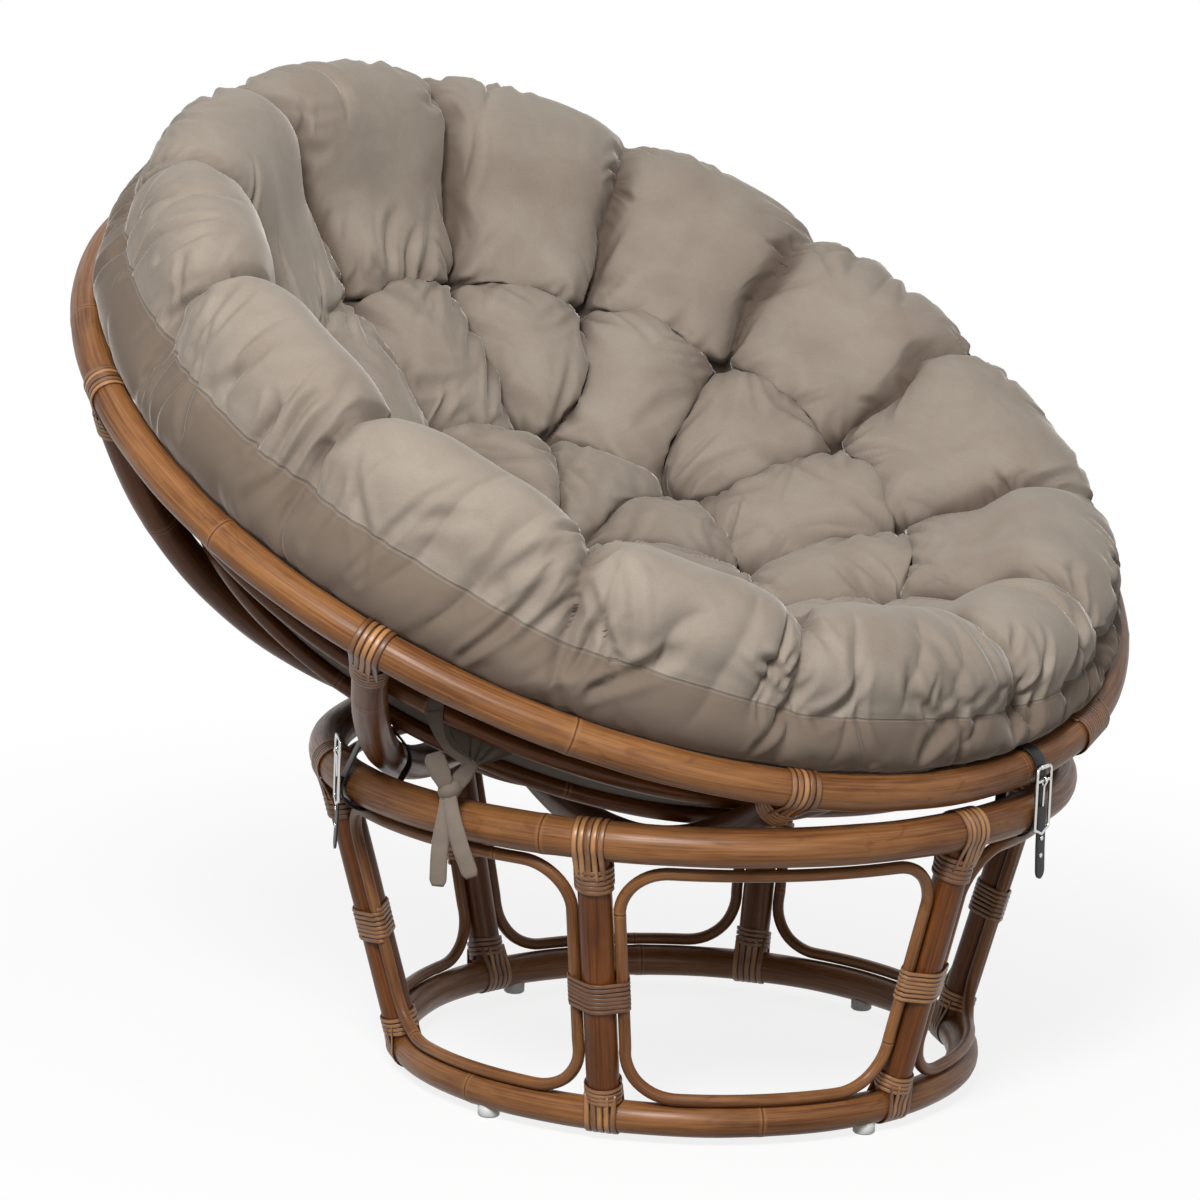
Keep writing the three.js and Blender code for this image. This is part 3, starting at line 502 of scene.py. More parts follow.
def frames(points, outs, closed):
    """The way out and the way across at each point, square to the path, and the distance run."""
    run = distance_run(points)
    along = np.gradient(points, axis=0)
    if closed:
        along[0] = along[-1] = points[1] - points[-2]
    along /= np.linalg.norm(along, axis=1)[:, None]
    out = outs - along * np.sum(outs * along, axis=1)[:, None]
    out /= np.linalg.norm(out, axis=1)[:, None]
    return out, np.cross(along, out), run


# Meshes

def layer(layers, name):
    return layers.get(name) or layers.new(name)


def smooth_faces(bm):
    for face in bm.faces:
        face.smooth = True


def add_sweep(bm, path, section, closed=False, tone=0.5, start=0, joints=(), capped=True):
    """A grid bent along a path. section gives the outline at a distance run: offsets out and across.
    Corners keep their place along, out and across, and their distance to the nearest rattan node."""
    points, outs = path
    out, across, run = frames(points, outs, closed)
    outline = section(0)
    steps, sides = len(points) - 1, len(outline)
    made = bmesh.ops.create_grid(bm, x_segments=steps, y_segments=sides, size=1)["verts"]
    rows = {}
    outlines = [np.asarray(section(s)) for s in run]
    pole = layer(bm.loops.layers.float_vector, "pole")
    joint, edge, tones = (layer(bm.loops.layers.float, name) for name in ("joint", "edge", "tone"))
    width = max(abs(offset[1]) for offset in outline)
    for vert in made:
        i = int(round((vert.co.x + 1) / 2 * steps))
        j = int(round((vert.co.y + 1) / 2 * sides))
        rows[vert] = (i, j)
    for face in {face for vert in made for face in vert.link_faces}:
        face.smooth = True
        middle = sum(run[rows[v][0]] for v in face.verts) / len(face.verts)
        nearest = min(joints, key=lambda place: abs(place - middle), default=None)
        for loop in face.loops:
            i, j = rows[loop.vert]
            a, b = outlines[i][j % sides]
            loop[pole] = (start + run[i], a, b)
            loop[joint] = 1 if nearest is None else run[i] - nearest
            loop[edge] = abs(b) / width
            loop[tones] = tone
    for vert, (i, j) in rows.items():
        a, b = outlines[i][j % sides]
        vert.co = points[i] + a * out[i] + b * across[i]
    bmesh.ops.remove_doubles(bm, verts=made, dist=1e-6)
    made = [vert for vert in made if vert.is_valid]
    if capped and not closed:
        rim = list({e for vert in made for e in vert.link_edges if e.is_boundary})
        bmesh.ops.holes_fill(bm, edges=rim, sides=0)
    return made


def round_section(radius, sides):
    """A round outline, of one radius or of a radius that changes along the path."""
    turn = np.arange(sides) * 2 * math.pi / sides
    shape = np.column_stack([np.cos(turn), np.sin(turn)])
    return (lambda s: shape * radius(s)) if callable(radius) else (lambda s: shape * radius)


def flat_section(width, thickness, sides=10, squareness=0.55):
    """A flat band with rounded edges, lying on the surface under it."""
    turn = np.arange(sides) * 2 * math.pi / sides

    def bent(value):
        return np.sign(value) * np.abs(value) ** squareness

    shape = np.column_stack([bent(np.cos(turn)) * thickness / 2, bent(np.sin(turn)) * width / 2])
    return lambda s: shape


def piece(name, bm, matrix, slot, body, context, *nodes):
    """The finished piece from its bmesh: put in place, outwards, with its finish, body and CAD nodes."""
    bmesh.ops.transform(bm, matrix=matrix, verts=bm.verts, space=Matrix.Identity(4))
    bmesh.ops.recalc_face_normals(bm, faces=bm.faces)
    mesh = bpy.data.meshes.new(name)
    bm.to_mesh(mesh)
    bm.free()
    made = bpy.data.objects.new(name, mesh)
    context.scene.collection.objects.link(made)
    made.data.materials.append(finish_of(slot, context))
    if body:
        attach(made, body)
    if nodes:
        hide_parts(*nodes)
    return made


def grown_nodes(name, run, spacing=(0.24, 0.52)):
    """Where a cane's nodes are along a pole. The name seeds them, so that they stay the same."""
    draw = random.Random(name)
    places, at = [], draw.uniform(0.04, spacing[1])
    while at < run - 0.03:
        places.append(at)
        at += draw.uniform(*spacing)
    return places


def add_pole(bm, name, path, radius, sides, closed=False):
    """A rattan pole: round, a little fuller at its nodes and never quite even."""
    run = whole_run(path[0])
    joints = grown_nodes(name, run)
    draw = random.Random(name + "_even")
    start = draw.uniform(0, 9)
    waves = int(max(1, run // 0.11))

    def fullness(s):
        base = radius(s) if callable(radius) else radius
        swell = sum(math.exp(-((s - place) / 0.0045) ** 2) for place in joints)
        ripple = math.sin(2 * math.pi * waves * s / run) * 0.009
        return base * (0.988 + 0.028 * min(1, swell) + ripple)

    return add_sweep(bm, path, round_section(fullness, sides), closed, start=start, joints=joints)


def base_place(turn=0.0):
    return Matrix.Translation((RING_MIDDLE.x, RING_MIDDLE.y, 0)) @ Matrix.Rotation(turn, 4, "Z")


def bowl_place(sizes, turn=0.0):
    lean = Matrix.Translation(RIM_MIDDLE) @ Matrix.Rotation(sizes.tilt, 4, "X")
    return lean @ Matrix.Rotation(turn, 4, "Z")


class BaseForm:
    """Where the base's poles run, drawn at the front and turned to their places."""

    def __init__(self, sizes):
        self.sizes = sizes
        self.low, self.high = FOOT_MIDDLE.z, RING_MIDDLE.z
        rise = self.high - self.low
        self.lean = math.atan2(sizes.top_radius - sizes.bottom_radius, rise)
        self.span = rise / math.cos(self.lean)
        self.step = 2 * math.pi / sizes.posts

    def cone_radius(self, up):
        return self.sizes.bottom_radius + (self.sizes.top_radius - self.sizes.bottom_radius) * up / self.span

    def post(self, up):
        return np.array([0, -self.cone_radius(up), self.low + up * math.cos(self.lean)])

    def post_radius(self, distance):
        return self.sizes.post_bottom + (self.sizes.post_top - self.sizes.post_bottom) * distance / self.span

    def cone(self, across, up):
        """A point on the cone that the posts lie on, and the way out of it."""
        radius, slope = self.cone_radius(up), math.cos(self.lean)
        turn = across / radius
        height = self.low + up * slope
        way = (math.sin(turn) * slope, -math.cos(turn) * slope, -math.sin(self.lean))
        return (radius * math.sin(turn), -radius * math.cos(turn), height), way

    def side(self, up):
        """How far from a window's middle the middle of its loop's rod runs."""
        half = self.cone_radius(up) * math.pi / self.sizes.posts
        return half - self.sizes.post_top - self.sizes.rod - SEAT_GAP

    def loop_path(self):
        """Round the window, starting inside the binding at +X."""
        s = self.sizes
        top = self.span - s.top_pole - s.loop_slack - s.rod
        bottom = s.bottom_pole + s.rod + SEAT_GAP
        joint = s.mid_rise / math.cos(self.lean)
        flat = [(self.side(joint), joint)]

        def corner(up, radius, start, side, way):
            middle_up = up - way * radius
            middle = side * (self.side(middle_up) - radius)
            for i in range(13):
                turn = start + i / 12 * math.pi / 2
                flat.append((middle + radius * math.cos(turn), middle_up + radius * math.sin(turn)))

        corner(top, s.loop_top_corner, 0, 1, 1)
        corner(top, s.loop_top_corner, math.pi / 2, -1, 1)
        flat.append((-self.side(joint), joint))
        corner(bottom, s.loop_bottom_corner, math.pi, -1, -1)
        corner(bottom, s.loop_bottom_corner, 3 * math.pi / 2, 1, -1)
        flat.append((self.side(joint), joint))
        placed = [self.cone(across, up) for across, up in resampled(flat, 0.006)]
        return np.array([p for p, _ in placed]), np.array([way for _, way in placed])


class BowlForm:
    """Where the bowl's poles run, in the bowl's own frame: the rim lies in XY and the ribs hang below."""

    def __init__(self, sizes):
        self.sizes = sizes
        self.drop = math.sqrt(sizes.sphere ** 2 - sizes.rim_radius ** 2)
        self.rim_angle = math.asin(sizes.rim_radius / sizes.sphere)
        self.hub_angle = math.asin(sizes.hub_radius / sizes.sphere)
        self.step = 2 * math.pi / sizes.ribs

    def rib(self, angle_down):
        sphere = self.sizes.sphere
        return np.array([0, -sphere * math.sin(angle_down), self.drop - sphere * math.cos(angle_down)])

    def rib_path(self):
        turns = np.linspace(self.rim_angle - 0.006, self.hub_angle + 0.005, 86)
        points = np.array([self.rib(turn) for turn in turns])
        return points, np.array([(0, -math.sin(turn), -math.cos(turn)) for turn in turns])

    def inner_rise(self, radius):
        return self.drop - math.sqrt(self.sizes.inner_sphere ** 2 - radius ** 2)


# Cane bindings

def wobbled(draw, amount):
    return draw.uniform(-amount, amount)


def add_saddle(bm, cane, frame_at, tube, member, offset, depth, name):
    """One strip over a ring and down both sides of the pole that butts on it.
    frame_at has X along the ring, Y across it and Z away from the pole."""
    draw = random.Random(name)
    grip = cane.thickness / 2 + SEAT_GAP
    reach = tube + grip
    skin = math.sqrt(max((member + grip) ** 2 - offset ** 2, (member * 0.25) ** 2))
    end = -(tube + depth)
    arc = [(reach * math.sin(t), reach * math.cos(t)) for t in np.linspace(-1.95, 1.95, 21)]
    flat = [(-skin, end)] + arc + [(skin, end)]
    flat = resampled(flat, 0.0042)
    shift, slant = wobbled(draw, 0.0004), wobbled(draw, 0.02)
    points = np.array([(offset + shift + slant * z, y, z) for y, z in flat])
    ways = np.gradient(flat, axis=0)
    outs = np.array([(0, -dz, dy) for dy, dz in ways])
    outs = np.array([frame_at.to_3x3() @ Vector(o) for o in outs])
    points = np.array([frame_at @ Vector(p) for p in points])
    add_sweep(bm, (points, outs), flat_section(cane.width, cane.thickness * 1.2, 10, 0.7), tone=draw.random(),
              start=draw.random())


def add_winding(bm, cane, frame_at, outline, start, span, turns, name):
    """Turns of cane round a pole, down from start along -Z, side by side.
    outline gives the skin and the way out of it at a turn from 0 to 1."""
    draw = random.Random(name)
    width = span / (turns + 1) * 0.94
    places = np.linspace(0, turns, turns * 26 + 1)
    points, outs = [], []
    for at in places:
        (x, y), (a, b) = outline(at % 1)
        drift = 0.0004 * math.sin(at * 5.1 + draw.random() * 0.1)
        points.append(frame_at @ Vector((x, y, -(start + span * (at + 0.5) / (turns + 1) + drift))))
        outs.append(frame_at.to_3x3() @ Vector((a, b, 0)))
    add_sweep(bm, (np.array(points), np.array(outs)), flat_section(width, cane.thickness * 1.3, 10, 0.8),
              tone=draw.random(), start=draw.random())


def round_outline(radius):
    def outline(turn):
        way = (math.cos(2 * math.pi * turn), math.sin(2 * math.pi * turn))
        return (radius * way[0], radius * way[1]), way
    return outline


def three_rod_outline(post, rod, side, grow):
    """Drawn tight round a post and the rod on each side of it."""
    circles = [(0, post + grow), (side, rod + grow), (-side, rod + grow)]
    points, ways = [], []
    for turn in np.linspace(0, 2 * math.pi, 241)[:-1]:
        c, s = math.cos(turn), math.sin(turn)
        x, radius = max(circles, key=lambda circle: circle[0] * c + circle[1])
        points.append((x + radius * c, radius * s))
        ways.append((c, s))
    points, ways = np.array(points + points[:1]), np.array(ways + ways[:1])
    run = distance_run(points)
    run /= run[-1]

    def outline(turn):
        at = [np.interp(turn, run, column) for column in (*points.T, *ways.T)]
        return (at[0], at[1]), (at[2], at[3])
    return outline


def joint_frame(ring_point, member_way, ring_way):
    """Z away from the pole that butts on the ring, X along the ring."""
    z = -Vector(member_way).normalized()
    x = Vector(ring_way)
    x = (x - z * x.dot(z)).normalized()
    y = z.cross(x)
    turned = Matrix((x, y, z)).transposed().to_4x4()
    return Matrix.Translation(Vector(ring_point)) @ turned


def add_corner_binding(bm, cane, frame_at, tube, member, collar, strips, sleeve, name):
    """Strips over the ring with their ends held by turns round the pole."""
    for i in range(strips):
        offset = collar * ((i + 0.5) / strips - 0.5)
        add_saddle(bm, cane, frame_at, tube, member, offset, sleeve * 0.55, f"{name}_{i}")
    turns = max(3, round(sleeve / cane.width))
    skin = member + SEAT_GAP + cane.thickness * 0.95
    add_winding(bm, cane, frame_at, round_outline(skin), tube + 0.001, sleeve, turns, name + "_sleeve")


# The pieces of the base

class PAPASAN_OT_base_poles(bpy.types.Operator):
    """Makes the base's two rings, the posts between them and the window loops"""
    bl_idname = "papasan.base_poles"
    bl_label = "Base poles"

    def execute(self, context):
        s = context.scene.papasan_base
        form = BaseForm(s)
        for name, radius, height, tube, node in (
            ("top_ring", s.top_radius, form.high, s.top_pole, "base_top_ring"),
            ("bottom_ring", s.bottom_radius, form.low, s.bottom_pole, "base_bottom_ring"),
        ):
            bm = bmesh.new()
            add_pole(bm, name, circle_path(radius, height), tube, 22, closed=True)
            piece(name, bm, base_place(s.post_turn), "rattan", "base", context, node)
        for i in range(s.posts):
            turn = s.post_turn + i * form.step
            bm = bmesh.new()
            path = line_path(form.post(s.bottom_pole * 0.4), form.post(form.span - s.top_pole * 0.4), 0.004)
            add_pole(bm, f"pole_{i}", path, form.post_radius, 22)
            piece(f"leaning_post_{i + 1}", bm, base_place(turn), "rattan_dark", "base", context,
                  f"post_{i + 1}")
            bm = bmesh.new()
            add_pole(bm, f"loop_{i}", form.loop_path(), s.rod, 12, closed=True)
            piece(f"bent_loop_{i + 1}", bm, base_place(turn + form.step / 2), "rattan", "base", context,
                  f"window_loop_{i + 1}")
        return {"FINISHED"}


class PAPASAN_OT_base_bindings(bpy.types.Operator):
    """Winds cane over every joint of the base"""
    bl_idname = "papasan.base_bindings"
    bl_label = "Base bindings"

    def execute(self, context):
        s, cane = context.scene.papasan_base, context.scene.papasan_cane
        form = BaseForm(s)
        down = form.post(0) - form.post(form.span)
        top = joint_frame(form.post(form.span), down, (1, 0, 0))
        foot = joint_frame(form.post(0), -down, (1, 0, 0))
        middle = joint_frame(form.post(s.mid_rise / math.cos(form.lean)), down, (1, 0, 0))
        outline = three_rod_outline(s.post_top, s.rod, s.post_top + s.rod + SEAT_GAP,
                                    cane.thickness / 2 + SEAT_GAP)
        for i in range(s.posts):
            place = base_place(s.post_turn + i * form.step)
            bm = bmesh.new()
            add_corner_binding(bm, cane, top, s.top_pole, s.post_top, cane.collar, cane.collar_strips,
                               cane.post_sleeve, f"top_{i}")
            piece(f"post_top_binding_{i + 1}", bm, place, "cane", "base", context, f"post_top_wrap_{i + 1}")
            bm = bmesh.new()
            add_winding(bm, cane, middle, outline, -s.mid_width / 2, s.mid_width, 7, f"mid_{i}")
            piece(f"post_middle_binding_{i + 1}", bm, place, "cane", "base", context,
                  f"post_mid_wrap_{i + 1}")
            bm = bmesh.new()
            add_corner_binding(bm, cane, foot, s.bottom_pole, s.post_bottom, cane.collar, cane.collar_strips,
                               cane.foot_sleeve, f"foot_{i}")
            piece(f"post_foot_binding_{i + 1}", bm, place, "cane", "base", context)
        return {"FINISHED"}


class PAPASAN_OT_glides(bpy.types.Operator):
    """Turns the four glides under the bottom ring"""
    bl_idname = "papasan.glides"
    bl_label = "Glides"

    def execute(self, context):
        s = context.scene.papasan_base
        top = FOOT_MIDDLE.z - s.bottom_pole * 0.7
        profile = [(0, 0), (s.glide_radius - s.glide_chamfer, 0), (s.glide_radius, s.glide_chamfer),
                   (s.glide_radius, top), (0, top)]
        for number in range(1, 5):
            middle = middle_of(f"glide_{number}")
            bm = bmesh.new()
            verts = [bm.verts.new((r, 0, z)) for r, z in profile]
            edges = [bm.edges.new(pair) for pair in zip(verts, verts[1:])]
            bmesh.ops.spin(bm, geom=verts + edges, cent=(0, 0, 0), axis=(0, 0, 1), angle=2 * math.pi,
                           steps=40, use_merge=True)
            bmesh.ops.remove_doubles(bm, verts=bm.verts, dist=1e-6)
            for face in bm.faces:
                face.smooth = abs(face.normal.z) < 0.2
            piece(f"moulded_glide_{number}", bm, Matrix.Translation((middle.x, middle.y, 0)), "glide_plastic",
                  "base", context, f"glide_{number}")
        return {"FINISHED"}


# The pieces of the bowl

class PAPASAN_OT_bowl_poles(bpy.types.Operator):
    """Makes the rim, the ribs, the hub ring and the two thin rings"""
    bl_idname = "papasan.bowl_poles"
    bl_label = "Bowl poles"

    def execute(self, context):
        s = context.scene.papasan_bowl
        form = BowlForm(s)
        hub_rise = form.rib(form.hub_angle)[2]
        rings = (
            ("rim_pole", s.rim_radius, 0, s.rim_pole, 24, "rattan", "bowl_rim"),
            ("hub_pole", s.hub_radius, hub_rise, s.hub_pole, 20, "rattan_dark", "bowl_hub_ring"),
            ("thin_ring_outer", s.inner_outer, form.inner_rise(s.inner_outer), s.inner_pole, 14,
             "rattan_dark", "bowl_inner_ring_1"),
            ("thin_ring_inner", s.inner_inner, form.inner_rise(s.inner_inner), s.inner_pole, 14,
             "rattan_dark", "bowl_inner_ring_2"),
        )
        for name, radius, height, tube, sides, slot, node in rings:
            bm = bmesh.new()
            add_pole(bm, name, circle_path(radius, height), tube, sides, closed=True)
            piece(name, bm, bowl_place(s), slot, "bowl", context, node)
        for i in range(s.ribs):
            bm = bmesh.new()
            add_pole(bm, f"rib_pole_{i}", form.rib_path(), s.rib_pole, 20)
            place = bowl_place(s, (i + 0.5) * form.step)
            piece(f"bowl_rib_{i + 1}", bm, place, "rattan_dark", "bowl", context, f"rib_{i + 1}")
        return {"FINISHED"}


class PAPASAN_OT_bowl_bindings(bpy.types.Operator):
    """Winds cane over the joints of the ribs and the rim, with the splice of the rim at one of them"""
    bl_idname = "papasan.bowl_bindings"
    bl_label = "Bowl bindings"

    def execute(self, context):
        s, cane = context.scene.papasan_bowl, context.scene.papasan_cane
        form = BowlForm(s)
        reach = (s.rim_pole + cane.rib_sleeve) / s.sphere
        down = form.rib(form.rim_angle - reach) - form.rib(form.rim_angle)
        corner = joint_frame(form.rib(form.rim_angle), down, (1, 0, 0))
        for i in range(s.ribs):
            bm = bmesh.new()
            add_corner_binding(bm, cane, corner, s.rim_pole, s.rib_pole, cane.collar, cane.collar_strips,
                               cane.rib_sleeve, f"rib_{i}")
            if i == 0:
                start = form.rib(form.rim_angle) + np.array([-cane.splice / 2, 0, 0])
                along = joint_frame(start, (1, 0, 0), (0, 0, 1))
                skin = round_outline(s.rim_pole + SEAT_GAP + cane.thickness * 0.9)
                add_winding(bm, cane, along, skin, 0, cane.splice, cane.splice_turns, "splice")
            piece(f"rib_binding_{i + 1}", bm, bowl_place(s, (i + 0.5) * form.step), "cane", "bowl", context,
                  f"rib_wrap_{i + 1}")
        return {"FINISHED"}


# The cushion

# Its section from the middle of the top outwards: radius, rise over the rim's plane, share of lift and lean
CUSHION_OUTLINE = (
    (0.000, -0.1371, 0.0),
    (0.100, -0.1326, 0.0),
    (0.200, -0.1282, 0.0),  # inner tufts
    (0.275, -0.0792, 0.0),
    (0.350, -0.0301, 0.0),  # outer tufts
    (0.378, 0.018, 0.12),
    (0.406, 0.078, 0.52),
    (0.440, 0.130, 0.87),
    (0.489, 0.150, 1.0),
    (0.528, 0.138, 0.92),
    (0.548, 0.108, 0.72),
    (0.542, 0.072, 0.48),  # upper seam
    (0.558, 0.047, 0.22),
    (0.554, 0.0255, 0.02),
    (0.535, 0.006, 0.0),  # lower seam
)
INNER_TUFT_ROW, OUTER_TUFT_ROW, WALL_ROW, SEAM_ROW = 2, 4, 6, 11

# The crease from each outer tuft over the crown: how far it leans on its way to the seam, in degrees,
# how far it bows to the side and how deep it still is at the seam, in metres
CROWN_CREASES = (
    (4.0, -0.004, 0.014), (2.0, 0.010, 0.013), (1.0, -0.012, 0.020), (-2.0, 0.012, 0.026),
    (2.0, -0.014, 0.027), (-1.0, 0.010, 0.017), (2.5, 0.014, 0.022), (-1.5, -0.012, 0.014),
    (-2.0, 0.012, 0.016), (1.0, 0.016, 0.017), (-1.0, 0.012, 0.013), (-3.0, 0.004, 0.012),
    (1.5, -0.024, 0.015),
)


CURVE_PARTS = 24


def smooth_curve(points, parts=CURVE_PARTS):
    """A curve through the points, with so many parts from each point to the next."""
    points = np.asarray(points, float)
    padded = np.vstack([2 * points[0] - points[1], points, 2 * points[-1] - points[-2]])
    made = []
    for a, b, c, d in zip(padded, padded[1:], padded[2:], padded[3:]):
        t = np.linspace(0, 1, parts, endpoint=False)[:, None]
        made.append(b + t * (c - a) / 2 + t ** 2 * (a - 2.5 * b + 2 * c - d / 2)
                    + t ** 3 * (1.5 * (b - c) + (d - a) / 2))
    return np.vstack([*made, points[-1:]])


def pillow_side(away):
    """A cut's depth beside a crease: steep at the crease, then rounding out far like stuffed cloth."""
    steep = 1 - np.sqrt(1 - (1 - np.minimum(away / 0.26, 1)) ** 2)
    return 0.42 * steep + 0.58 * (1 - np.minimum(away, 1)) ** 2


def groove(away):
    return np.exp(-away ** 2)


def ridge(away):
    return np.exp(-((away - 1.7) / 0.8) ** 2)


def pressed(flat, lines, shape, reach):
    """How deep lines cut at places of the flat disc. A line has its ends, a bow, depths along it and a
    width, shape is its cut's profile over distances in widths, and past reach widths it cuts nothing."""
    deepest = np.zeros(len(flat))
    for start, end, bow, depths, width in lines:
        span = end - start
        margin = width * reach + np.abs(bow).max()
        low, high = np.minimum(start, end) - margin, np.maximum(start, end) + margin
        near = np.flatnonzero(np.all((flat > low) & (flat < high), axis=1))
        offset = flat[near] - start
        t = np.clip(offset @ span / (span @ span), 0, 1)[:, None]
        away = np.linalg.norm(offset - t * span - 4 * t * (1 - t) * bow, axis=1)
        depth = np.interp(t[:, 0], np.linspace(0, 1, len(depths)), depths)
        deepest[near] = np.maximum(deepest[near], depth * shape(away / width))
    return deepest


def square_to(way):
    return np.array([-way[1], way[0]])


class CushionForm:
    """The cushion's surface, laid out flat as a disc: from the middle of the top, over the crown and
    the seams, to the middle of the underside at its edge."""

    def __init__(self, sizes, bowl):
        self.sizes = sizes
        top = smooth_curve(CUSHION_OUTLINE)
        run = distance_run(top[:, :2])
        rows = [run[min(CURVE_PARTS * row, len(run) - 1)] for row in range(len(CUSHION_OUTLINE))]
        self.inner_reach, self.outer_reach = rows[INNER_TUFT_ROW], rows[OUTER_TUFT_ROW]
        self.wall_reach, self.seam_reach, self.edge_reach = rows[WALL_ROW], rows[SEAM_ROW], run[-1]
        drop = BowlForm(bowl).drop
        edge = CUSHION_OUTLINE[-1][0]
        turns = np.linspace(math.asin(edge / sizes.sphere), 0, 60)
        under = np.column_stack([sizes.sphere * np.sin(turns), drop - sizes.sphere * np.cos(turns),
                                 0 * turns])
        under = under[under[:, 1] < -0.012]
        whole = np.vstack([top, under])
        self.run = distance_run(whole[:, :2])
        self.radius, self.rise, self.share = whole.T
        self.end_reach = self.run[-1]
        self.tufts = self.circle(sizes.outer_tufts, self.outer_reach, sizes.outer_turn)
        self.inner = self.circle(sizes.inner_tufts, self.inner_reach, sizes.inner_turn)
        self.all_tufts = np.vstack([self.tufts, self.inner, [[0, 0]]])
        self.creases = self.crease_lines()
        self.gathers = self.gather_lines()
        self.wrinkles = self.wrinkle_lines()

    @staticmethod
    def circle(count, reach, turn):
        turns = turn + np.arange(count) * 2 * math.pi / count
        return reach * np.column_stack([np.sin(turns), -np.cos(turns)])

    @staticmethod
    def at(turn, reach):
        return reach * np.array([math.sin(turn), -math.cos(turn)])

    def crease_lines(self):
        """The deep creases: over the crown, from tuft to tuft and to the middle."""
        draw, lines, s = random.Random(3), [], self.sizes
        puff = s.puff

        def across(a, b, middle, bow):
            half = puff * middle * 1.12
            lines.append((a, b, bow, (puff, half, puff * middle, half, puff), s.pillow))

        for i, tuft in enumerate(self.tufts):
            lean, bow, deep = CROWN_CREASES[i % len(CROWN_CREASES)]
            turn = s.outer_turn + i * 2 * math.pi / s.outer_tufts
            end = self.at(turn + math.radians(lean), self.seam_reach + 0.035)
            side = self.at(turn + math.pi / 2, bow)
            lines.append((tuft, end, side, (puff, 0.048, 0.042, 0.037, 0.6 * deep + 0.014, deep, 0.3 * deep),
                          s.pillow * 1.1))
            inner = min(self.inner, key=lambda place: np.linalg.norm(place - tuft))
            way = (inner - tuft) / np.linalg.norm(inner - tuft)
            slant = tuft[0] * inner[1] - tuft[1] * inner[0]
            side = math.copysign(0.020, slant) if abs(slant) > 0.004 else 0.006
            across(tuft, inner, 0.68, square_to(way) * side)
        for ring, middle, out in ((self.tufts, 0.50, 0.020), (self.inner, 0.58, 0.012)):
            for a, b in zip(ring, np.roll(ring, -1, axis=0)):
                half = (a + b) / 2
                across(a, b, middle, half / np.linalg.norm(half) * draw.uniform(0.6, 1.2) * out)
        for tuft in self.inner:
            way = tuft / np.linalg.norm(tuft)
            across(tuft, np.zeros(2), 0.55, square_to(way) * draw.uniform(-0.012, 0.012))
        return lines

    def gather_lines(self):
        """The folds gathered at the upper seam, which run up over the crown and down the band, and the
        short ones that spread from each tuft."""
        draw, lines, s = random.Random(11), [], self.sizes
        step = 2 * math.pi / s.outer_tufts
        for i in range(s.outer_tufts):
            turn = s.outer_turn + i * step
            for part in (0.22, 0.46, 0.62, 0.84):
                at = turn + step * (part + draw.uniform(-0.09, 0.09))
                deep = draw.choice((0.006, 0.009, 0.013, 0.020)) * draw.uniform(0.8, 1.2)
                top = self.at(at + draw.uniform(-0.14, 0.14), self.seam_reach - draw.uniform(0.05, 0.20))
                low = self.at(at, self.seam_reach + draw.uniform(-0.01, 0.045))
                bow = self.at(at + math.pi / 2, draw.uniform(-0.020, 0.020))
                lines.append((top, low, bow, (0, deep * 0.7, deep, deep * 0.85, deep * 0.3),
                              draw.uniform(0.020, 0.034)))
            tuft = self.at(turn, self.outer_reach)
            for way in (-1.15, -0.7, 0.72, 1.2):
                heading = self.at(turn + way + draw.uniform(-0.18, 0.18), 1)
                end = tuft + heading * draw.uniform(0.06, 0.13)
                deep = draw.uniform(0.012, 0.022)
                lines.append((tuft, end, square_to(heading) * draw.uniform(-0.014, 0.014),
                              (deep, deep * 0.7, 0), draw.uniform(0.018, 0.028)))
        return lines

    def wrinkle_lines(self):
        """Small wrinkles: fans round each tuft, strokes off the creases, and many along the seam."""
        draw, lines, s = random.Random(7), [], self.sizes

        def add(start, heading, long, deep, width):
            bow = square_to(heading) * draw.uniform(-0.16, 0.16) * long
            lines.append((start, start + heading * long, bow, (deep * 0.6, deep, deep * 0.7, 0), width))

        for tuft in self.all_tufts:
            for _ in range(11):
                heading = self.at(draw.uniform(0, 2 * math.pi), 1)
                add(tuft + heading * draw.uniform(0.004, 0.012), heading, draw.uniform(0.04, 0.13),
                    s.wrinkle * draw.uniform(0.5, 1.3), draw.uniform(0.0042, 0.0065))
        for start, end, bow, *_ in self.creases:
            span = end - start
            way = span / np.linalg.norm(span)
            for _ in range(10):
                t = draw.uniform(0, 1)
                place = start + t * span + 4 * t * (1 - t) * bow
                side = draw.choice((-1, 1))
                slant = draw.uniform(0.35, 1.1)
                heading = (way * math.cos(slant) * draw.choice((-1, 1))
                           + square_to(way) * side * math.sin(slant))
                add(place, heading, draw.uniform(0.03, 0.11), s.wrinkle * draw.uniform(0.4, 1.1),
                    draw.uniform(0.005, 0.009))
        for _ in range(120):
            turn, lean = draw.uniform(0, 2 * math.pi), draw.uniform(-0.16, 0.16)
            low = self.at(turn, self.seam_reach + draw.uniform(-0.03, 0.05))
            top = self.at(turn + lean, self.seam_reach - draw.uniform(0.03, 0.13))
            long = np.linalg.norm(top - low)
            add(low, (top - low) / long, long, s.wrinkle * draw.uniform(0.5, 1.5), draw.uniform(0.005, 0.010))
        return lines

    def surface(self, flat):
        """The plain surface and the way out of it at places of the flat disc."""
        s = self.sizes
        reach = np.linalg.norm(flat, axis=1)
        way = flat / np.maximum(reach, 1e-9)[:, None]
        way[reach < 1e-9] = (0, -1)
        lift = -s.lift_front * way[:, 1] + s.lift_side * way[:, 0]
        lean = s.lean * (math.sin(s.lean_turn) * way[:, 0] - math.cos(s.lean_turn) * way[:, 1])

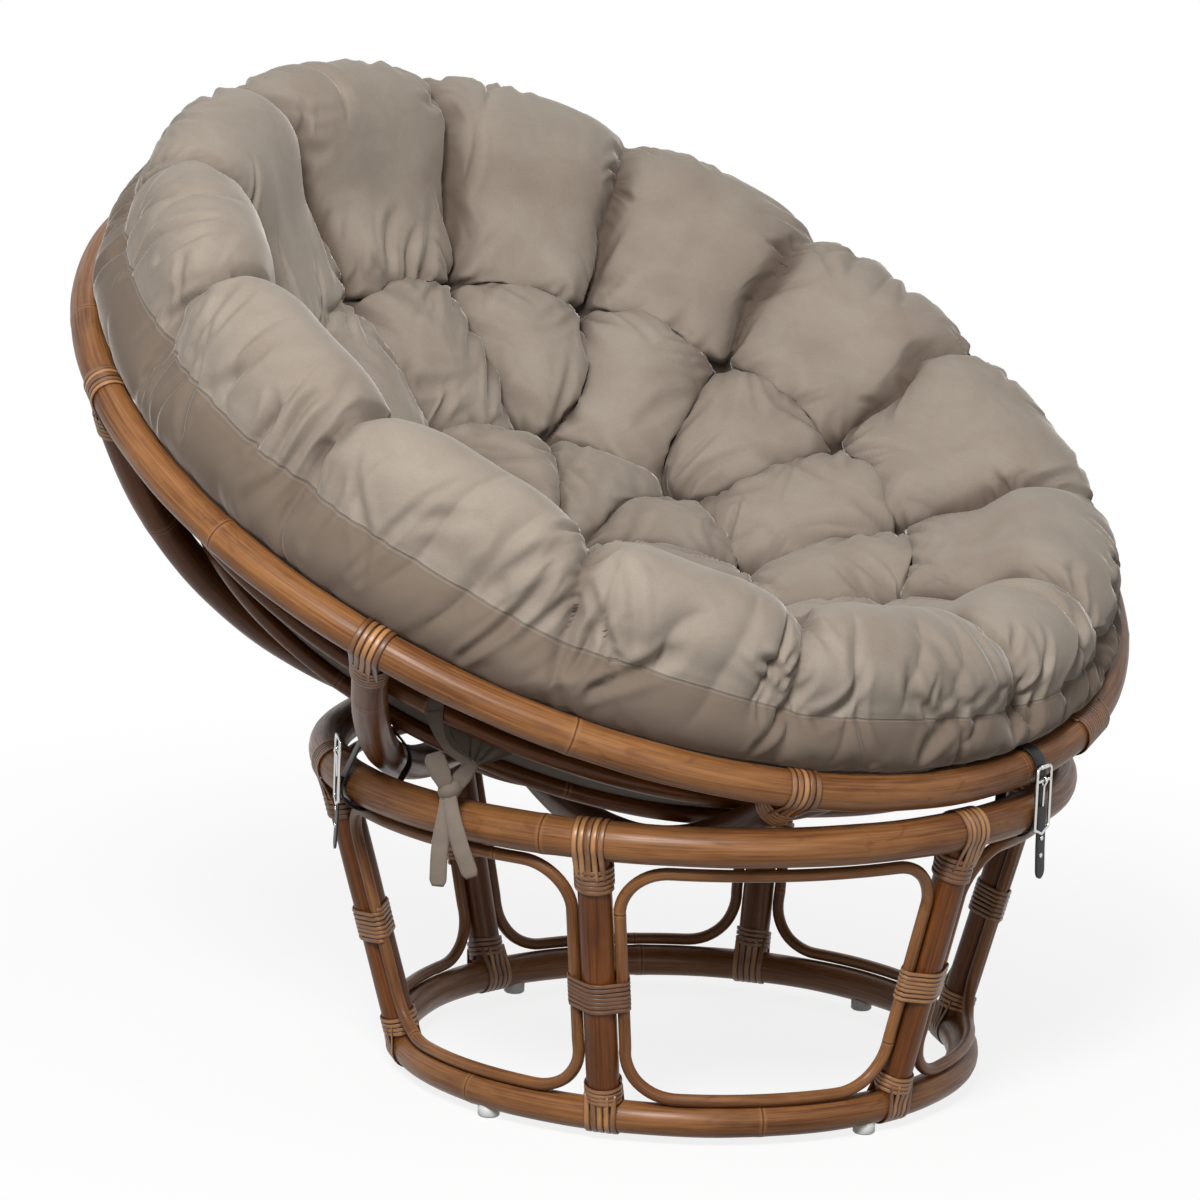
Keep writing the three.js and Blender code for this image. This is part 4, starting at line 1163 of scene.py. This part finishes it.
        def at(run):
            part = np.interp(run, self.run, self.share)
            return (np.interp(run, self.run, self.radius) + lean * part,
                    np.interp(run, self.run, self.rise) + lift * part)
        radius, rise = at(reach)
        ahead, behind = at(reach + 0.008), at(np.maximum(reach - 0.008, 0))
        d_radius, d_rise = ahead[0] - behind[0], ahead[1] - behind[1]
        size = np.maximum(np.hypot(d_radius, d_rise), 1e-9)
        out, up = -d_rise / size, d_radius / size
        points = np.column_stack([way * radius[:, None], rise])
        return points, np.column_stack([way * out[:, None], up])

    @staticmethod
    def swayed(flat):
        """The flat places moved a little, so that creases run in curves."""
        x, y = flat.T
        sway = 0.0055 * np.column_stack([
            np.sin(19 * x + 31 * y + 0.7) + 0.6 * np.sin(47 * y - 23 * x),
            np.sin(27 * x - 17 * y + 2.1) + 0.6 * np.sin(41 * x + 29 * y)])
        return flat + sway

    def nearest_tuft(self, flat):
        return np.min([np.linalg.norm(flat - tuft, axis=1) for tuft in self.all_tufts], axis=0)

    def tufted(self, flat):
        """The filling above the tufts, cut by the deep creases."""
        reach = np.linalg.norm(flat, axis=1)
        inside = 1 - np.clip((reach - self.outer_reach) / (self.wall_reach - self.outer_reach), 0, 1)
        lift = self.sizes.puff * inside * inside * (3 - 2 * inside)
        return lift, pressed(self.swayed(flat), self.creases, pillow_side, 1)

    def soft(self, flat):
        """The filling as the cover settles on it: rounded, with only the start of the creases."""
        lift, cut = self.tufted(flat)
        return np.where(np.linalg.norm(flat, axis=1) < self.edge_reach, 0.5 * (lift - cut), 0)

    def folded(self, flat):
        """The whole filling with its creases, gathers, pits, wrinkles and sunk seams, and how deep each
        place lies in them."""
        s = self.sizes
        reach = np.linalg.norm(flat, axis=1)
        swayed = self.swayed(flat)
        lift, cut = self.tufted(flat)
        gathers = pressed(swayed, self.gathers, pillow_side, 1)
        pits = s.pit * groove(self.nearest_tuft(flat) / 0.015)
        small = pressed(swayed, self.wrinkles, groove, 2.2)
        raised = 0.4 * pressed(swayed, self.wrinkles, ridge, 3.6)
        seam = 0.0026 * groove((reach - self.seam_reach) / 0.0042)
        deep = np.maximum(cut, gathers) + 0.35 * np.minimum(cut, gathers) + pits + seam
        under = np.clip((reach - self.edge_reach) / 0.03, 0, 1)
        hem = 0.004 * groove((reach - self.edge_reach) / 0.009)
        return (lift - deep - small + raised) * (1 - under) - hem, (deep + 1.5 * small) * (1 - under)


def disc_place(x, y):
    """A square's place moved to a disc, with its rings kept."""
    if x == 0 and y == 0:
        return 0.0, 0.0
    if abs(x) > abs(y):
        reach, turn = x, math.pi / 4 * y / x
    else:
        reach, turn = y, math.pi / 2 - math.pi / 4 * x / y
    return reach * math.cos(turn), reach * math.sin(turn)


def add_cover(bm, form, count):
    """Two sheets sewn at the lower seam. Each vertex keeps its place on the flat disc."""
    flat = bm.verts.layers.float_vector.new("flat")
    for under in (False, True):
        made = bmesh.ops.create_grid(bm, x_segments=count, y_segments=count, size=1)["verts"]
        for vert in made:
            x, y = disc_place(vert.co.x, vert.co.y)
            reach = math.hypot(x, y)
            run = form.edge_reach * reach
            if under:
                run = form.end_reach + (form.edge_reach - form.end_reach) * reach
            way = (x / reach, y / reach) if reach > 1e-9 else (0.0, -1.0)
            vert[flat] = (run * way[0], run * way[1], 0)
    filled = bm.verts.layers.float.new("filled")
    places = np.array([vert[flat][:2] for vert in bm.verts])
    points, outs = form.surface(places)
    soft = form.soft(places)
    points += outs * soft[:, None]
    for vert, point, height in zip(bm.verts, points, soft):
        vert.co = point
        vert[filled] = height
    bmesh.ops.remove_doubles(bm, verts=bm.verts, dist=1e-5)
    bmesh.ops.recalc_face_normals(bm, faces=bm.faces)


def coordinates(mesh):
    found = np.zeros(len(mesh.vertices) * 3, np.float32)
    mesh.vertices.foreach_get("co", found)
    return found.reshape(-1, 3).astype(float)


def flat_places(mesh):
    found = np.zeros(len(mesh.vertices) * 3, np.float32)
    mesh.attributes["flat"].data.foreach_get("vector", found)
    return found.reshape(-1, 3)[:, :2].astype(float)


SETTLE_FRAMES = 20
CLOTH_SETTINGS = {
    "quality": 4, "mass": 0.35, "tension_stiffness": 12, "compression_stiffness": 9, "shear_stiffness": 4,
    "bending_stiffness": 0.12, "use_pressure": True, "shrink_min": -0.035,
}


def settle_cover(context, cover, form):
    """Lets the cover swell and wrinkle as cloth, held at its tufts, its seams and its underside."""
    mesh = cover.data
    flat = flat_places(mesh)
    reach = np.linalg.norm(flat, axis=1)
    held = np.exp(-(form.nearest_tuft(flat) / 0.014) ** 2)
    held = np.maximum(held, np.clip((reach - form.edge_reach + 0.02) / 0.03, 0, 1))
    held = np.maximum(held, 0.25 * np.exp(-((reach - form.seam_reach) / 0.012) ** 2))
    pins = cover.vertex_groups.new(name="held")
    for index, weight in enumerate(held):
        if weight > 0.01:
            pins.add([index], float(weight), "REPLACE")
    cloth = cover.modifiers.new("settle", "CLOTH")
    for key, value in CLOTH_SETTINGS.items():
        setattr(cloth.settings, key, value)
    cloth.settings.uniform_pressure_force = form.sizes.pressure
    cloth.settings.vertex_group_mass = pins.name
    cloth.settings.effector_weights.gravity = 0
    cloth.point_cache.frame_start, cloth.point_cache.frame_end = 1, SETTLE_FRAMES
    scene = context.scene
    for number in range(1, SETTLE_FRAMES + 1):
        scene.frame_set(number)
    shaped = cover.evaluated_get(context.evaluated_depsgraph_get()).to_mesh()
    before, after = coordinates(mesh), coordinates(shaped)
    cover.modifiers.remove(cloth)
    cover.vertex_groups.remove(pins)
    scene.frame_set(1)
    move = after - before
    size = np.linalg.norm(move, axis=1)
    move *= (np.tanh(size / form.sizes.settle) * form.sizes.settle / np.maximum(size, 1e-9))[:, None]
    move *= (1 - held)[:, None]
    mesh.vertices.foreach_set("co", (before + move).astype(np.float32).ravel())
    mesh.update()


def fold_cover(cover, form):
    """Presses the creases and folds into the finer cover, and notes how deep each place lies."""
    mesh = cover.data
    height, deep = form.folded(flat_places(mesh))
    filled = np.zeros(len(mesh.vertices), np.float32)
    mesh.attributes["filled"].data.foreach_get("value", filled)
    normals = np.zeros(len(mesh.vertices) * 3, np.float32)
    mesh.vertex_normals.foreach_get("vector", normals)
    points = coordinates(mesh) + normals.reshape(-1, 3) * (height - filled)[:, None]
    mesh.vertices.foreach_set("co", points.astype(np.float32).ravel())
    # The depth of each place drives the velvet's painted shade in the creases and folds.
    depth = mesh.attributes.new("depth", "FLOAT", "POINT")
    depth.data.foreach_set("value", np.clip(deep / 0.045, 0, 1).astype(np.float32))
    mesh.update()


def cushion_form(context):
    return CushionForm(context.scene.papasan_cushion, context.scene.papasan_bowl)


class PAPASAN_OT_cushion(bpy.types.Operator):
    """Sews, fills, settles and tufts the cushion"""
    bl_idname = "papasan.cushion"
    bl_label = "Cushion"

    def execute(self, context):
        s = context.scene.papasan_cushion
        form = cushion_form(context)
        bm = bmesh.new()
        add_cover(bm, form, s.grid)
        smooth_faces(bm)
        cover = piece("tufted_cushion", bm, bowl_place(context.scene.papasan_bowl), "velvet", None, context)
        settle_cover(context, cover, form)
        finer = cover.modifiers.new("finer", "SUBSURF")
        finer.levels = finer.render_levels = 2
        shaped = cover.evaluated_get(context.evaluated_depsgraph_get())
        mesh = bpy.data.meshes.new_from_object(shaped)
        cover.modifiers.remove(finer)
        cover.data = mesh
        fold_cover(cover, form)
        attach(cover, "bowl")
        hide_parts("cushion")
        return {"FINISHED"}


# Straps, buckles and the tie

class Held:
    """A pole where a belt goes round it: a point of its middle line, its direction and its radius."""

    def __init__(self, point, along, radius):
        self.point, self.along, self.radius = Vector(point), Vector(along).normalized(), radius


def base_ring_at(sizes, turn):
    radius = sizes.top_radius
    point = (RING_MIDDLE.x + radius * math.sin(turn), RING_MIDDLE.y - radius * math.cos(turn), RING_MIDDLE.z)
    return Held(point, (math.cos(turn), math.sin(turn), 0), sizes.top_pole)


def bowl_ring_at(sizes, radius, rise, turn, tube):
    place = bowl_place(sizes)
    point = place @ Vector((radius * math.sin(turn), -radius * math.cos(turn), rise))
    return Held(point, place.to_3x3() @ Vector((math.cos(turn), math.sin(turn), 0)), tube)


def rim_over(bowl, turn):
    """The rim where it passes over a direction of the base."""
    drop = BowlForm(bowl).drop
    sine = bowl.rim_radius * math.cos(turn)
    cosine = bowl.rim_radius * math.cos(bowl.tilt) * math.sin(turn)
    shift = drop * math.sin(bowl.tilt) * math.sin(turn)
    at = math.atan2(cosine, sine) - math.asin(shift / math.hypot(sine, cosine))
    return bowl_ring_at(bowl, bowl.rim_radius, 0, at, bowl.rim_pole)


def rib_over_base(base, bowl, rib):
    """A rib where it lies on the base's ring, and the direction of the base there."""
    form = BowlForm(bowl)
    turn = (rib + 0.5) * form.step
    place = bowl_place(bowl, turn)
    poles = base.top_pole + bowl.rib_pole
    touching = base.top_radius * (1 - poles / (bowl.sphere + poles))

    def miss(at):
        return abs((place @ Vector(form.rib(at)) - RING_MIDDLE).xy.length - touching)

    best = min(np.linspace(form.hub_angle, form.rim_angle, 4001), key=miss)
    point = place @ Vector(form.rib(best))
    along = place.to_3x3() @ Vector((0, -math.cos(best), math.sin(best)))
    away = point - RING_MIDDLE
    return Held(point, along, bowl.rib_pole), math.atan2(away.x, -away.y)


def hull(points):
    """The smallest outline without hollows round flat points, counter-clockwise."""
    def chain(ordered):
        kept = []
        for x, y in ordered:
            while len(kept) > 1:
                (ax, ay), (bx, by) = kept[-2:]
                if (bx - ax) * (y - by) - (by - ay) * (x - bx) > 1e-12:
                    break
                kept.pop()
            kept.append((x, y))
        return kept[:-1]
    ordered = sorted(map(tuple, points))
    return chain(ordered) + chain(ordered[::-1])


class Belt:
    """A belt drawn tight round two poles, in its own upright frame: x outwards, y up, z across it."""

    def __init__(self, lower, upper, sizes):
        self.sizes = sizes
        across = lower.along + upper.along
        across.z = 0
        across.normalize()
        out = UP.cross(across)
        if out.dot(lower.point - RING_MIDDLE) < 0:
            across, out = -across, -out
        turned = Matrix((out, UP, across)).transposed()
        self.place = Matrix.Translation(lower.point) @ turned.to_4x4()
        back = self.place.inverted()
        reach = sizes.clearance + sizes.thickness / 2
        crossings = []
        for pole in (lower, upper):
            middle = back @ pole.point
            heading = back.to_3x3() @ pole.along
            side = Vector((heading.y, -heading.x, 0))
            side = side.normalized() if side.length > 1e-4 else Vector((1, 0, 0))
            over = heading.cross(side)
            for turn in np.linspace(0, 2 * math.pi, 73)[:-1]:
                skin = middle + (pole.radius + reach) * (side * math.cos(turn) + over * math.sin(turn))
                for plane in (-sizes.width / 2, sizes.width / 2):
                    crossing = skin + heading * ((plane - skin.z) / heading.z)
                    crossings.append((crossing.x, crossing.y))
        self.outline = np.array(hull(crossings))
        self.face = self.outline[:, 0].max()
        self.upper = upper.point

    def flat_path(self, flat):
        """A path of the belt's plane, in the chair's frame, with outs to its right-hand side."""
        ways = np.gradient(flat, axis=0)
        ways /= np.linalg.norm(ways, axis=1)[:, None]
        turned = self.place.to_3x3()
        points = np.array([self.place @ Vector((x, y, 0)) for x, y in flat])
        outs = np.array([turned @ Vector((dy, -dx, 0)) for dx, dy in ways])
        return points, outs


def belts(context):
    base, bowl, straps = (getattr(context.scene, "papasan_" + key) for key in ("base", "bowl", "straps"))
    rib, turn = rib_over_base(base, bowl, straps.left_rib)
    return {
        "right": Belt(base_ring_at(base, straps.right_turn), rim_over(bowl, straps.right_turn), straps),
        "left": Belt(base_ring_at(base, turn), rib, straps),
    }


class PAPASAN_OT_straps(bpy.types.Operator):
    """Draws a leather belt round the base and the bowl on each side, with its riveted tail"""
    bl_idname = "papasan.straps"
    bl_label = "Straps"

    def execute(self, context):
        s = context.scene.papasan_straps
        for side, belt in belts(context).items():
            bm = bmesh.new()
            loop = resampled(belt.outline, 0.004, closed=True)
            add_sweep(bm, belt.flat_path(loop), flat_section(s.width, s.thickness, 12, 0.4), closed=True)
            tail = [(belt.face + s.thickness * 0.3, 0.012), (belt.face + s.thickness * 1.05, -0.004),
                    (belt.face + s.thickness * 1.3, -s.tail * 0.5), (belt.face + s.thickness * 1.9, -s.tail)]
            tail = resampled(smooth_curve(tail, 8), 0.002)
            run = whole_run(tail)
            shape = flat_section(s.width - s.thickness, s.thickness * 0.9, 12, 0.4)(0)

            def tapered(at, shape=shape, run=run):
                past = max(0, at - (run - s.width * 0.45)) / (s.width * 0.45)
                return shape * [1, math.sqrt(max(0.02, 1 - past ** 2))]
            add_sweep(bm, belt.flat_path(tail), tapered)
            strap = piece("belt_" + side, bm, Matrix.Identity(4), "leather", None, context, "strap_" + side)
            foot = belt.place.translation
            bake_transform(strap, "base", "bowl", start=(*foot.xy, foot.z + 0.012), end=(*foot.xy, belt.upper.z))
            bm = bmesh.new()
            for y in (-s.tail * 0.34, -s.tail * 0.62):
                out = belt.face + s.thickness * 1.95
                place = belt.place @ Matrix.Translation((out, y, 0)) @ Matrix.Diagonal((0.4, 1, 1, 1))
                bmesh.ops.create_uvsphere(bm, u_segments=16, v_segments=8, radius=0.0026, matrix=place)
            smooth_faces(bm)
            piece("belt_rivets_" + side, bm, Matrix.Identity(4), "steel", "base", context)
        return {"FINISHED"}


def buckle_frame(sizes):
    """The wire frame's middle line: a long frame with round corners and a blunt point below."""
    half, long, corner = sizes.buckle_width / 2, sizes.buckle_length / 2, 0.005
    flat = [(0, long)]
    for way, end, quarters in ((-1, 1, 1), (-1, -1, 2), (1, -1, 3), (1, 1, 0)):
        for i in range(9):
            turn = (quarters + i / 8) * math.pi / 2
            drop = 0.004 if end < 0 else 0
            flat.append((way * (half - corner) + corner * math.cos(turn),
                         end * (long - corner) + corner * math.sin(turn) + drop))
        if way < 0 and end < 0:
            flat.append((0, -long))
    return resampled(flat, 0.0015, closed=True)


def prong_hinge(side):
    """The bar that a prong turns on: z along it, y up."""
    joint = next(joint for joint in frame["joints"] if joint["name"] == f"prong_{side}_lift")
    along = Vector(joint["axis"])
    turned = Matrix((UP.cross(along), UP, along)).transposed()
    return Matrix.Translation(joint["pos_m"]) @ turned.to_4x4()


class PAPASAN_OT_buckles(bpy.types.Operator):
    """Bends the wire buckles, each with its roller and its prong"""
    bl_idname = "papasan.buckles"
    bl_label = "Buckles"

    def execute(self, context):
        s = context.scene.papasan_straps
        bar = s.buckle_length / 2 - s.bar_drop
        for side in ("right", "left"):
            hinge = prong_hinge(side)
            place = hinge @ Matrix.Translation((0, -bar, 0))
            bm = bmesh.new()
            flat = buckle_frame(s)
            points = np.array([(0, y, x) for x, y in flat])
            outs = np.tile((1.0, 0, 0), (len(points), 1))
            add_sweep(bm, (points, outs), round_section(s.wire, 12), closed=True)
            for rise, reach, radius in ((bar, s.buckle_width / 2, s.wire),
                                        (s.buckle_length / 2, s.buckle_width / 2 - 0.006, s.wire * 1.5)):
                line = resampled([(0, rise, -reach), (0, rise, reach)], 0.003)
                add_sweep(bm, (line, np.tile((1.0, 0, 0), (len(line), 1))), round_section(radius, 14))
            body = "bowl" if side == "right" else "base"
            piece("wire_buckle_" + side, bm, place, "steel", body, context, "buckle_" + side)
            bm = bmesh.new()
            reach = s.wire + s.prong_radius + 0.0002
            eye = [(reach * math.sin(t), reach * math.cos(t)) for t in np.linspace(-2.2, 2.2, 17)]
            lead = [(-0.0004, -s.wire - 0.004), *eye, (0.0004, -s.wire - 0.004), (0, -s.prong)]
            line = np.array([(x, y, 0) for x, y in resampled(lead, 0.0012)])
            add_sweep(bm, (line, np.tile((0, 0, 1.0), (len(line), 1))), round_section(s.prong_radius, 10))
            piece("buckle_prong_" + side, bm, hinge, "steel", "prong_" + side, context, "prong_" + side)
        return {"FINISHED"}


def add_gathered_cloth(bm, context, place, point):
    """The cushion's cloth, drawn together from its underside to a point of the tie's frame."""
    bowl, cushion, s = (getattr(context.scene, "papasan_" + key) for key in ("bowl", "cushion", "straps"))
    frame, back = bowl_place(bowl), place.inverted()
    grid = bmesh.ops.create_grid(bm, x_segments=60, y_segments=10, size=0.5)["verts"]
    for vert in grid:
        across, up = vert.co.x + 0.5, vert.co.y + 0.5
        turn = s.tie_turn + (across * 0.26 - 0.07)
        radius = bowl.inner_outer - 0.020
        top = back @ frame @ Vector((radius * math.sin(turn), -radius * math.cos(turn),
                                     BowlForm(bowl).drop - math.sqrt(cushion.sphere ** 2 - radius ** 2)))
        wave = math.sin(across * 34 + 2.2 * math.sin(across * 9))
        pleat = 0.0035 * wave * min(1, up * 4) * (1.1 - 0.7 * up)
        low = Vector(point) + Vector((0, 0, (across - 0.5) * 0.012))
        sag = 0.010 * up * (1 - up)
        vert.co = low.lerp(top, up) + Vector((pleat, -sag, 0))
    faces = list({face for vert in grid for face in vert.link_faces})
    bmesh.ops.solidify(bm, geom=faces, thickness=0.0012)


class PAPASAN_OT_tie(bpy.types.Operator):
    """Knots the cushion's velvet band round the outer thin ring"""
    bl_idname = "papasan.tie"
    bl_label = "Tie"

    def execute(self, context):
        s, bowl = context.scene.papasan_straps, context.scene.papasan_bowl
        held = bowl_ring_at(bowl, bowl.inner_outer, BowlForm(bowl).inner_rise(bowl.inner_outer), s.tie_turn,
                            bowl.inner_pole)
        across = held.along.copy()
        across.z = 0
        across.normalize()
        turned = Matrix((UP.cross(across), UP, across)).transposed()
        place = Matrix.Translation(held.point) @ turned.to_4x4()
        bm = bmesh.new()
        ring = bowl.inner_pole
        knot = np.array([-0.003, -s.tie_drop - 0.012, 0.012])
        fold = knot + (0.004, 0.022, 0.018)

        def band(points, width, thickness, facing=(1.0, 0.0, 0.0)):
            line = resampled(smooth_curve(points, 8), 0.003)
            run = whole_run(line)
            shape = flat_section(1, thickness, 12, 0.6)(0)

            def section(at):
                start, end = width
                wide = np.interp(at, [0, run * 0.5, run - 0.005, run], [start, end, end, end * 0.7])
                ripple = 1 + 0.16 * math.sin(at * 260) * math.sin(at * 71 + 1)
                return shape * [ripple, wide]
            add_sweep(bm, (line, np.tile(facing, (len(line), 1))), section)

        for way in (-1, 1):
            band([(way * (ring + 0.003), 0.004, -0.004), (way * (ring + 0.003), -0.012, -0.001),
                  (way * 0.005, -0.034, 0.010 + 0.001 * way), fold + (way * 0.001, 0.004, 0)],
                 (s.tie_width, s.tie_width * 0.5), 0.0035)
        band([(-ring - 0.003, 0.002, -0.004), (-0.005, ring + 0.003, -0.004), (0.005, ring + 0.003, -0.004),
              (ring + 0.003, 0.002, -0.004)], (s.tie_width, s.tie_width), 0.0035, facing=(0.3, 1.0, 0.0))
        band([fold + (0, 0.006, 0.003), fold, knot + (0.002, 0.006, 0.006), knot],
             (0.012, s.tie_width), 0.006)
        for scale, turn, shift in (((0.85, 0.80, 1.0), -0.5, 0.0), ((1.0, 0.40, 1.08), -0.75, 0.002)):
            wrap = (Matrix.Translation(knot + (shift, 0, 0)) @ Matrix.Rotation(turn, 4, "X")
                    @ Matrix.Diagonal((*(0.0125 * c for c in scale), 1)))
            bmesh.ops.create_uvsphere(bm, u_segments=24, v_segments=14, radius=1, matrix=wrap)
        tail = s.tie_tail
        for points in (((-0.001, 0, -0.002), (-0.005, -tail * 0.26, -0.003), (-0.006, -tail * 0.60, -0.007),
                        (-0.005, -tail * 0.97, -0.008)),
                       ((-0.003, 0, 0), (-0.009, -tail * 0.22, 0.005), (-0.012, -tail * 0.52, 0.014),
                        (-0.011, -tail * 0.84, 0.026)),
                       ((-0.003, 0, -0.002), (-0.008, 0.012, -0.006), (-0.009, 0.026, -0.012),
                        (-0.007, 0.036, -0.016))):
            wide = 1.0 if points[-1][1] < 0 else 1.25
            band([knot + point for point in points], (s.tie_width * 0.75, s.tie_width * wide), 0.0048)
        add_gathered_cloth(bm, context, place, fold + (0.001, 0.002, 0.001))
        smooth_faces(bm)
        # Painted shade: the whole tie is darkened as if it lay halfway into a crease.
        shade = bm.verts.layers.float.new("depth")
        for vert in bm.verts:
            vert[shade] = 0.5
        piece("velvet_tie", bm, place, "velvet", "bowl", context, "cushion_tie")
        return {"FINISHED"}


# The stage

# Name, place, the setting that holds its power, size
LAMPS = (
    ("key_lamp", (-2.8, -1.8, 3.0), "key", 1.3),
    ("low_lamp", (-1.6, -3.6, 0.95), "low", 1.5),
    ("back_lamp", (2.2, 1.5, 3.0), "back", 2.2),
)
LAMP_TARGET_HEIGHT = 0.55


def add_lamp(context, name, place, target, power, size):
    data = bpy.data.lights.new(name, "AREA")
    data.energy, data.shape, data.size = power, "DISK", size
    lamp = bpy.data.objects.new(name, data)
    lamp.location = place
    lamp.rotation_euler = (Vector(target) - Vector(place)).to_track_quat("-Z", "Y").to_euler()
    context.scene.collection.objects.link(lamp)


def sky(context, strength):
    """Even light from all round, and white where the camera or a reflection sees past the floor."""
    world = bpy.data.worlds.new("sky")
    world.use_nodes = True
    context.scene.world = world
    tree = world.node_tree
    tree.nodes.clear()
    path = tree.nodes.new("ShaderNodeLightPath")
    seen = tree.nodes.new("ShaderNodeMath")
    seen.operation = "MAXIMUM"
    shown = tree.nodes.new("ShaderNodeMath")
    shown.operation = "MAXIMUM"
    tree.links.new(path.outputs["Is Camera Ray"], seen.inputs[0])
    tree.links.new(path.outputs["Is Glossy Ray"], seen.inputs[1])
    tree.links.new(seen.outputs[0], shown.inputs[0])
    tree.links.new(path.outputs["Is Transmission Ray"], shown.inputs[1])
    dim, white = (tree.nodes.new("ShaderNodeBackground") for _ in range(2))
    dim.inputs["Strength"].default_value = strength
    for shade in (dim, white):
        shade.inputs["Color"].default_value = (1, 1, 1, 1)
    mix = tree.nodes.new("ShaderNodeMixShader")
    out = tree.nodes.new("ShaderNodeOutputWorld")
    tree.links.new(shown.outputs[0], mix.inputs[0])
    tree.links.new(dim.outputs[0], mix.inputs[1])
    tree.links.new(white.outputs[0], mix.inputs[2])
    tree.links.new(mix.outputs[0], out.inputs["Surface"])


def floor_finish(settings):
    """Pale floor with the chair's shadow where the camera or a reflection sees it, plain white further
    out, and a duller floor for the light that it sends back up."""
    tree = Tree("pale_floor")
    place = tree.node("ShaderNodeTexCoord", {}, {}, "Object")
    away = tree.node("ShaderNodeVectorMath", {"operation": "LENGTH"}, {0: place}, "Value")
    camera, glossy, through = (tree.node("ShaderNodeLightPath", {}, {}, f"Is {kind} Ray")
                               for kind in ("Camera", "Glossy", "Transmission"))
    seen = camera.math("MAXIMUM", glossy).math("MAXIMUM", through)
    grain = tree.noise(place, 40, 3)
    pale = tree.mix(grain.between(0.4, 0.9) * 0.03, settings.floor, (0.9, 0.9, 0.9, 1))

    def plain(colour):
        return tree.node("ShaderNodeBsdfPrincipled", {}, {
            "Base Color": colour, "Roughness": 0.9, "Specular IOR Level": 0.1}, "BSDF")

    white = tree.node("ShaderNodeEmission", {}, {"Color": (1, 1, 1, 1), "Strength": 1.0})
    far = away.between(settings.floor_reach * 0.35, settings.floor_reach * 1.5)
    shown = tree.node("ShaderNodeMixShader", {}, {0: 0.84 + far * 0.16, 1: plain(pale), 2: white})
    bounce = plain(settings.floor_bounce)
    return tree.finish(tree.node("ShaderNodeMixShader", {}, {0: seen, 1: bounce, 2: shown}))


class PAPASAN_OT_stage(bpy.types.Operator):
    """Sets the floor, the lamps and the camera"""
    bl_idname = "papasan.stage"
    bl_label = "Stage"

    def execute(self, context):
        s = context.scene.papasan_stage
        bm = bmesh.new()
        bmesh.ops.create_circle(bm, cap_ends=True, segments=96, radius=60)
        mesh = bpy.data.meshes.new("floor")
        bm.to_mesh(mesh)
        bm.free()
        floor = bpy.data.objects.new("floor", mesh)
        floor.data.materials.append(floor_finish(s))
        context.scene.collection.objects.link(floor)
        target = (RING_MIDDLE.x, RING_MIDDLE.y, LAMP_TARGET_HEIGHT)
        for name, place, setting, size in LAMPS:
            add_lamp(context, name, place, target, getattr(s, setting), size)
        sky(context, s.sky)
        data = bpy.data.cameras.new("camera")
        data.sensor_width, data.lens = 36, s.lens
        data.clip_end = 200
        camera = bpy.data.objects.new("camera", data)
        aim = Vector(s.camera_aim).normalized()
        right = aim.cross(UP).normalized()
        turned = Matrix((right, right.cross(aim), -aim)).transposed() @ Matrix.Rotation(s.camera_roll, 3, "Z")
        place = Vector(s.camera_place) + Vector((RING_MIDDLE.x, RING_MIDDLE.y, 0))
        camera.matrix_world = Matrix.Translation(place) @ turned.to_4x4()
        context.scene.collection.objects.link(camera)
        context.scene.camera = camera
        context.scene.view_settings.view_transform = "Standard"
        return {"FINISHED"}


OPERATORS = (
    PAPASAN_OT_stage,
    PAPASAN_OT_base_poles,
    PAPASAN_OT_base_bindings,
    PAPASAN_OT_glides,
    PAPASAN_OT_bowl_poles,
    PAPASAN_OT_bowl_bindings,
    PAPASAN_OT_cushion,
    PAPASAN_OT_straps,
    PAPASAN_OT_buckles,
    PAPASAN_OT_tie,
)
GROUPS = {
    "papasan_base": BaseSizes,
    "papasan_bowl": BowlSizes,
    "papasan_cane": CaneSizes,
    "papasan_cushion": CushionSizes,
    "papasan_straps": StrapSizes,
    "papasan_colours": Colours,
    "papasan_stage": StageSettings,
}


class PAPASAN_PT_pieces(bpy.types.Panel):
    """Lists the pieces of the chair"""
    bl_idname = "PAPASAN_PT_pieces"
    bl_label = "Papasan Chair"
    bl_space_type = "VIEW_3D"
    bl_region_type = "UI"
    bl_category = "Papasan"

    def draw(self, context):
        for operator in OPERATORS:
            self.layout.operator(operator.bl_idname)


def register():
    for group in (*GROUPS.values(), *OPERATORS, PAPASAN_PT_pieces):
        bpy.utils.register_class(group)
    for name, group in GROUPS.items():
        setattr(bpy.types.Scene, name, PointerProperty(type=group))


def unregister():
    for name in GROUPS:
        delattr(bpy.types.Scene, name)
    for group in reversed((*GROUPS.values(), *OPERATORS, PAPASAN_PT_pieces)):
        bpy.utils.unregister_class(group)


def main():
    register()
    for operator in OPERATORS:
        group, name = operator.bl_idname.split(".")
        getattr(getattr(bpy.ops, group), name)()


if __name__ == "__main__":
    main()
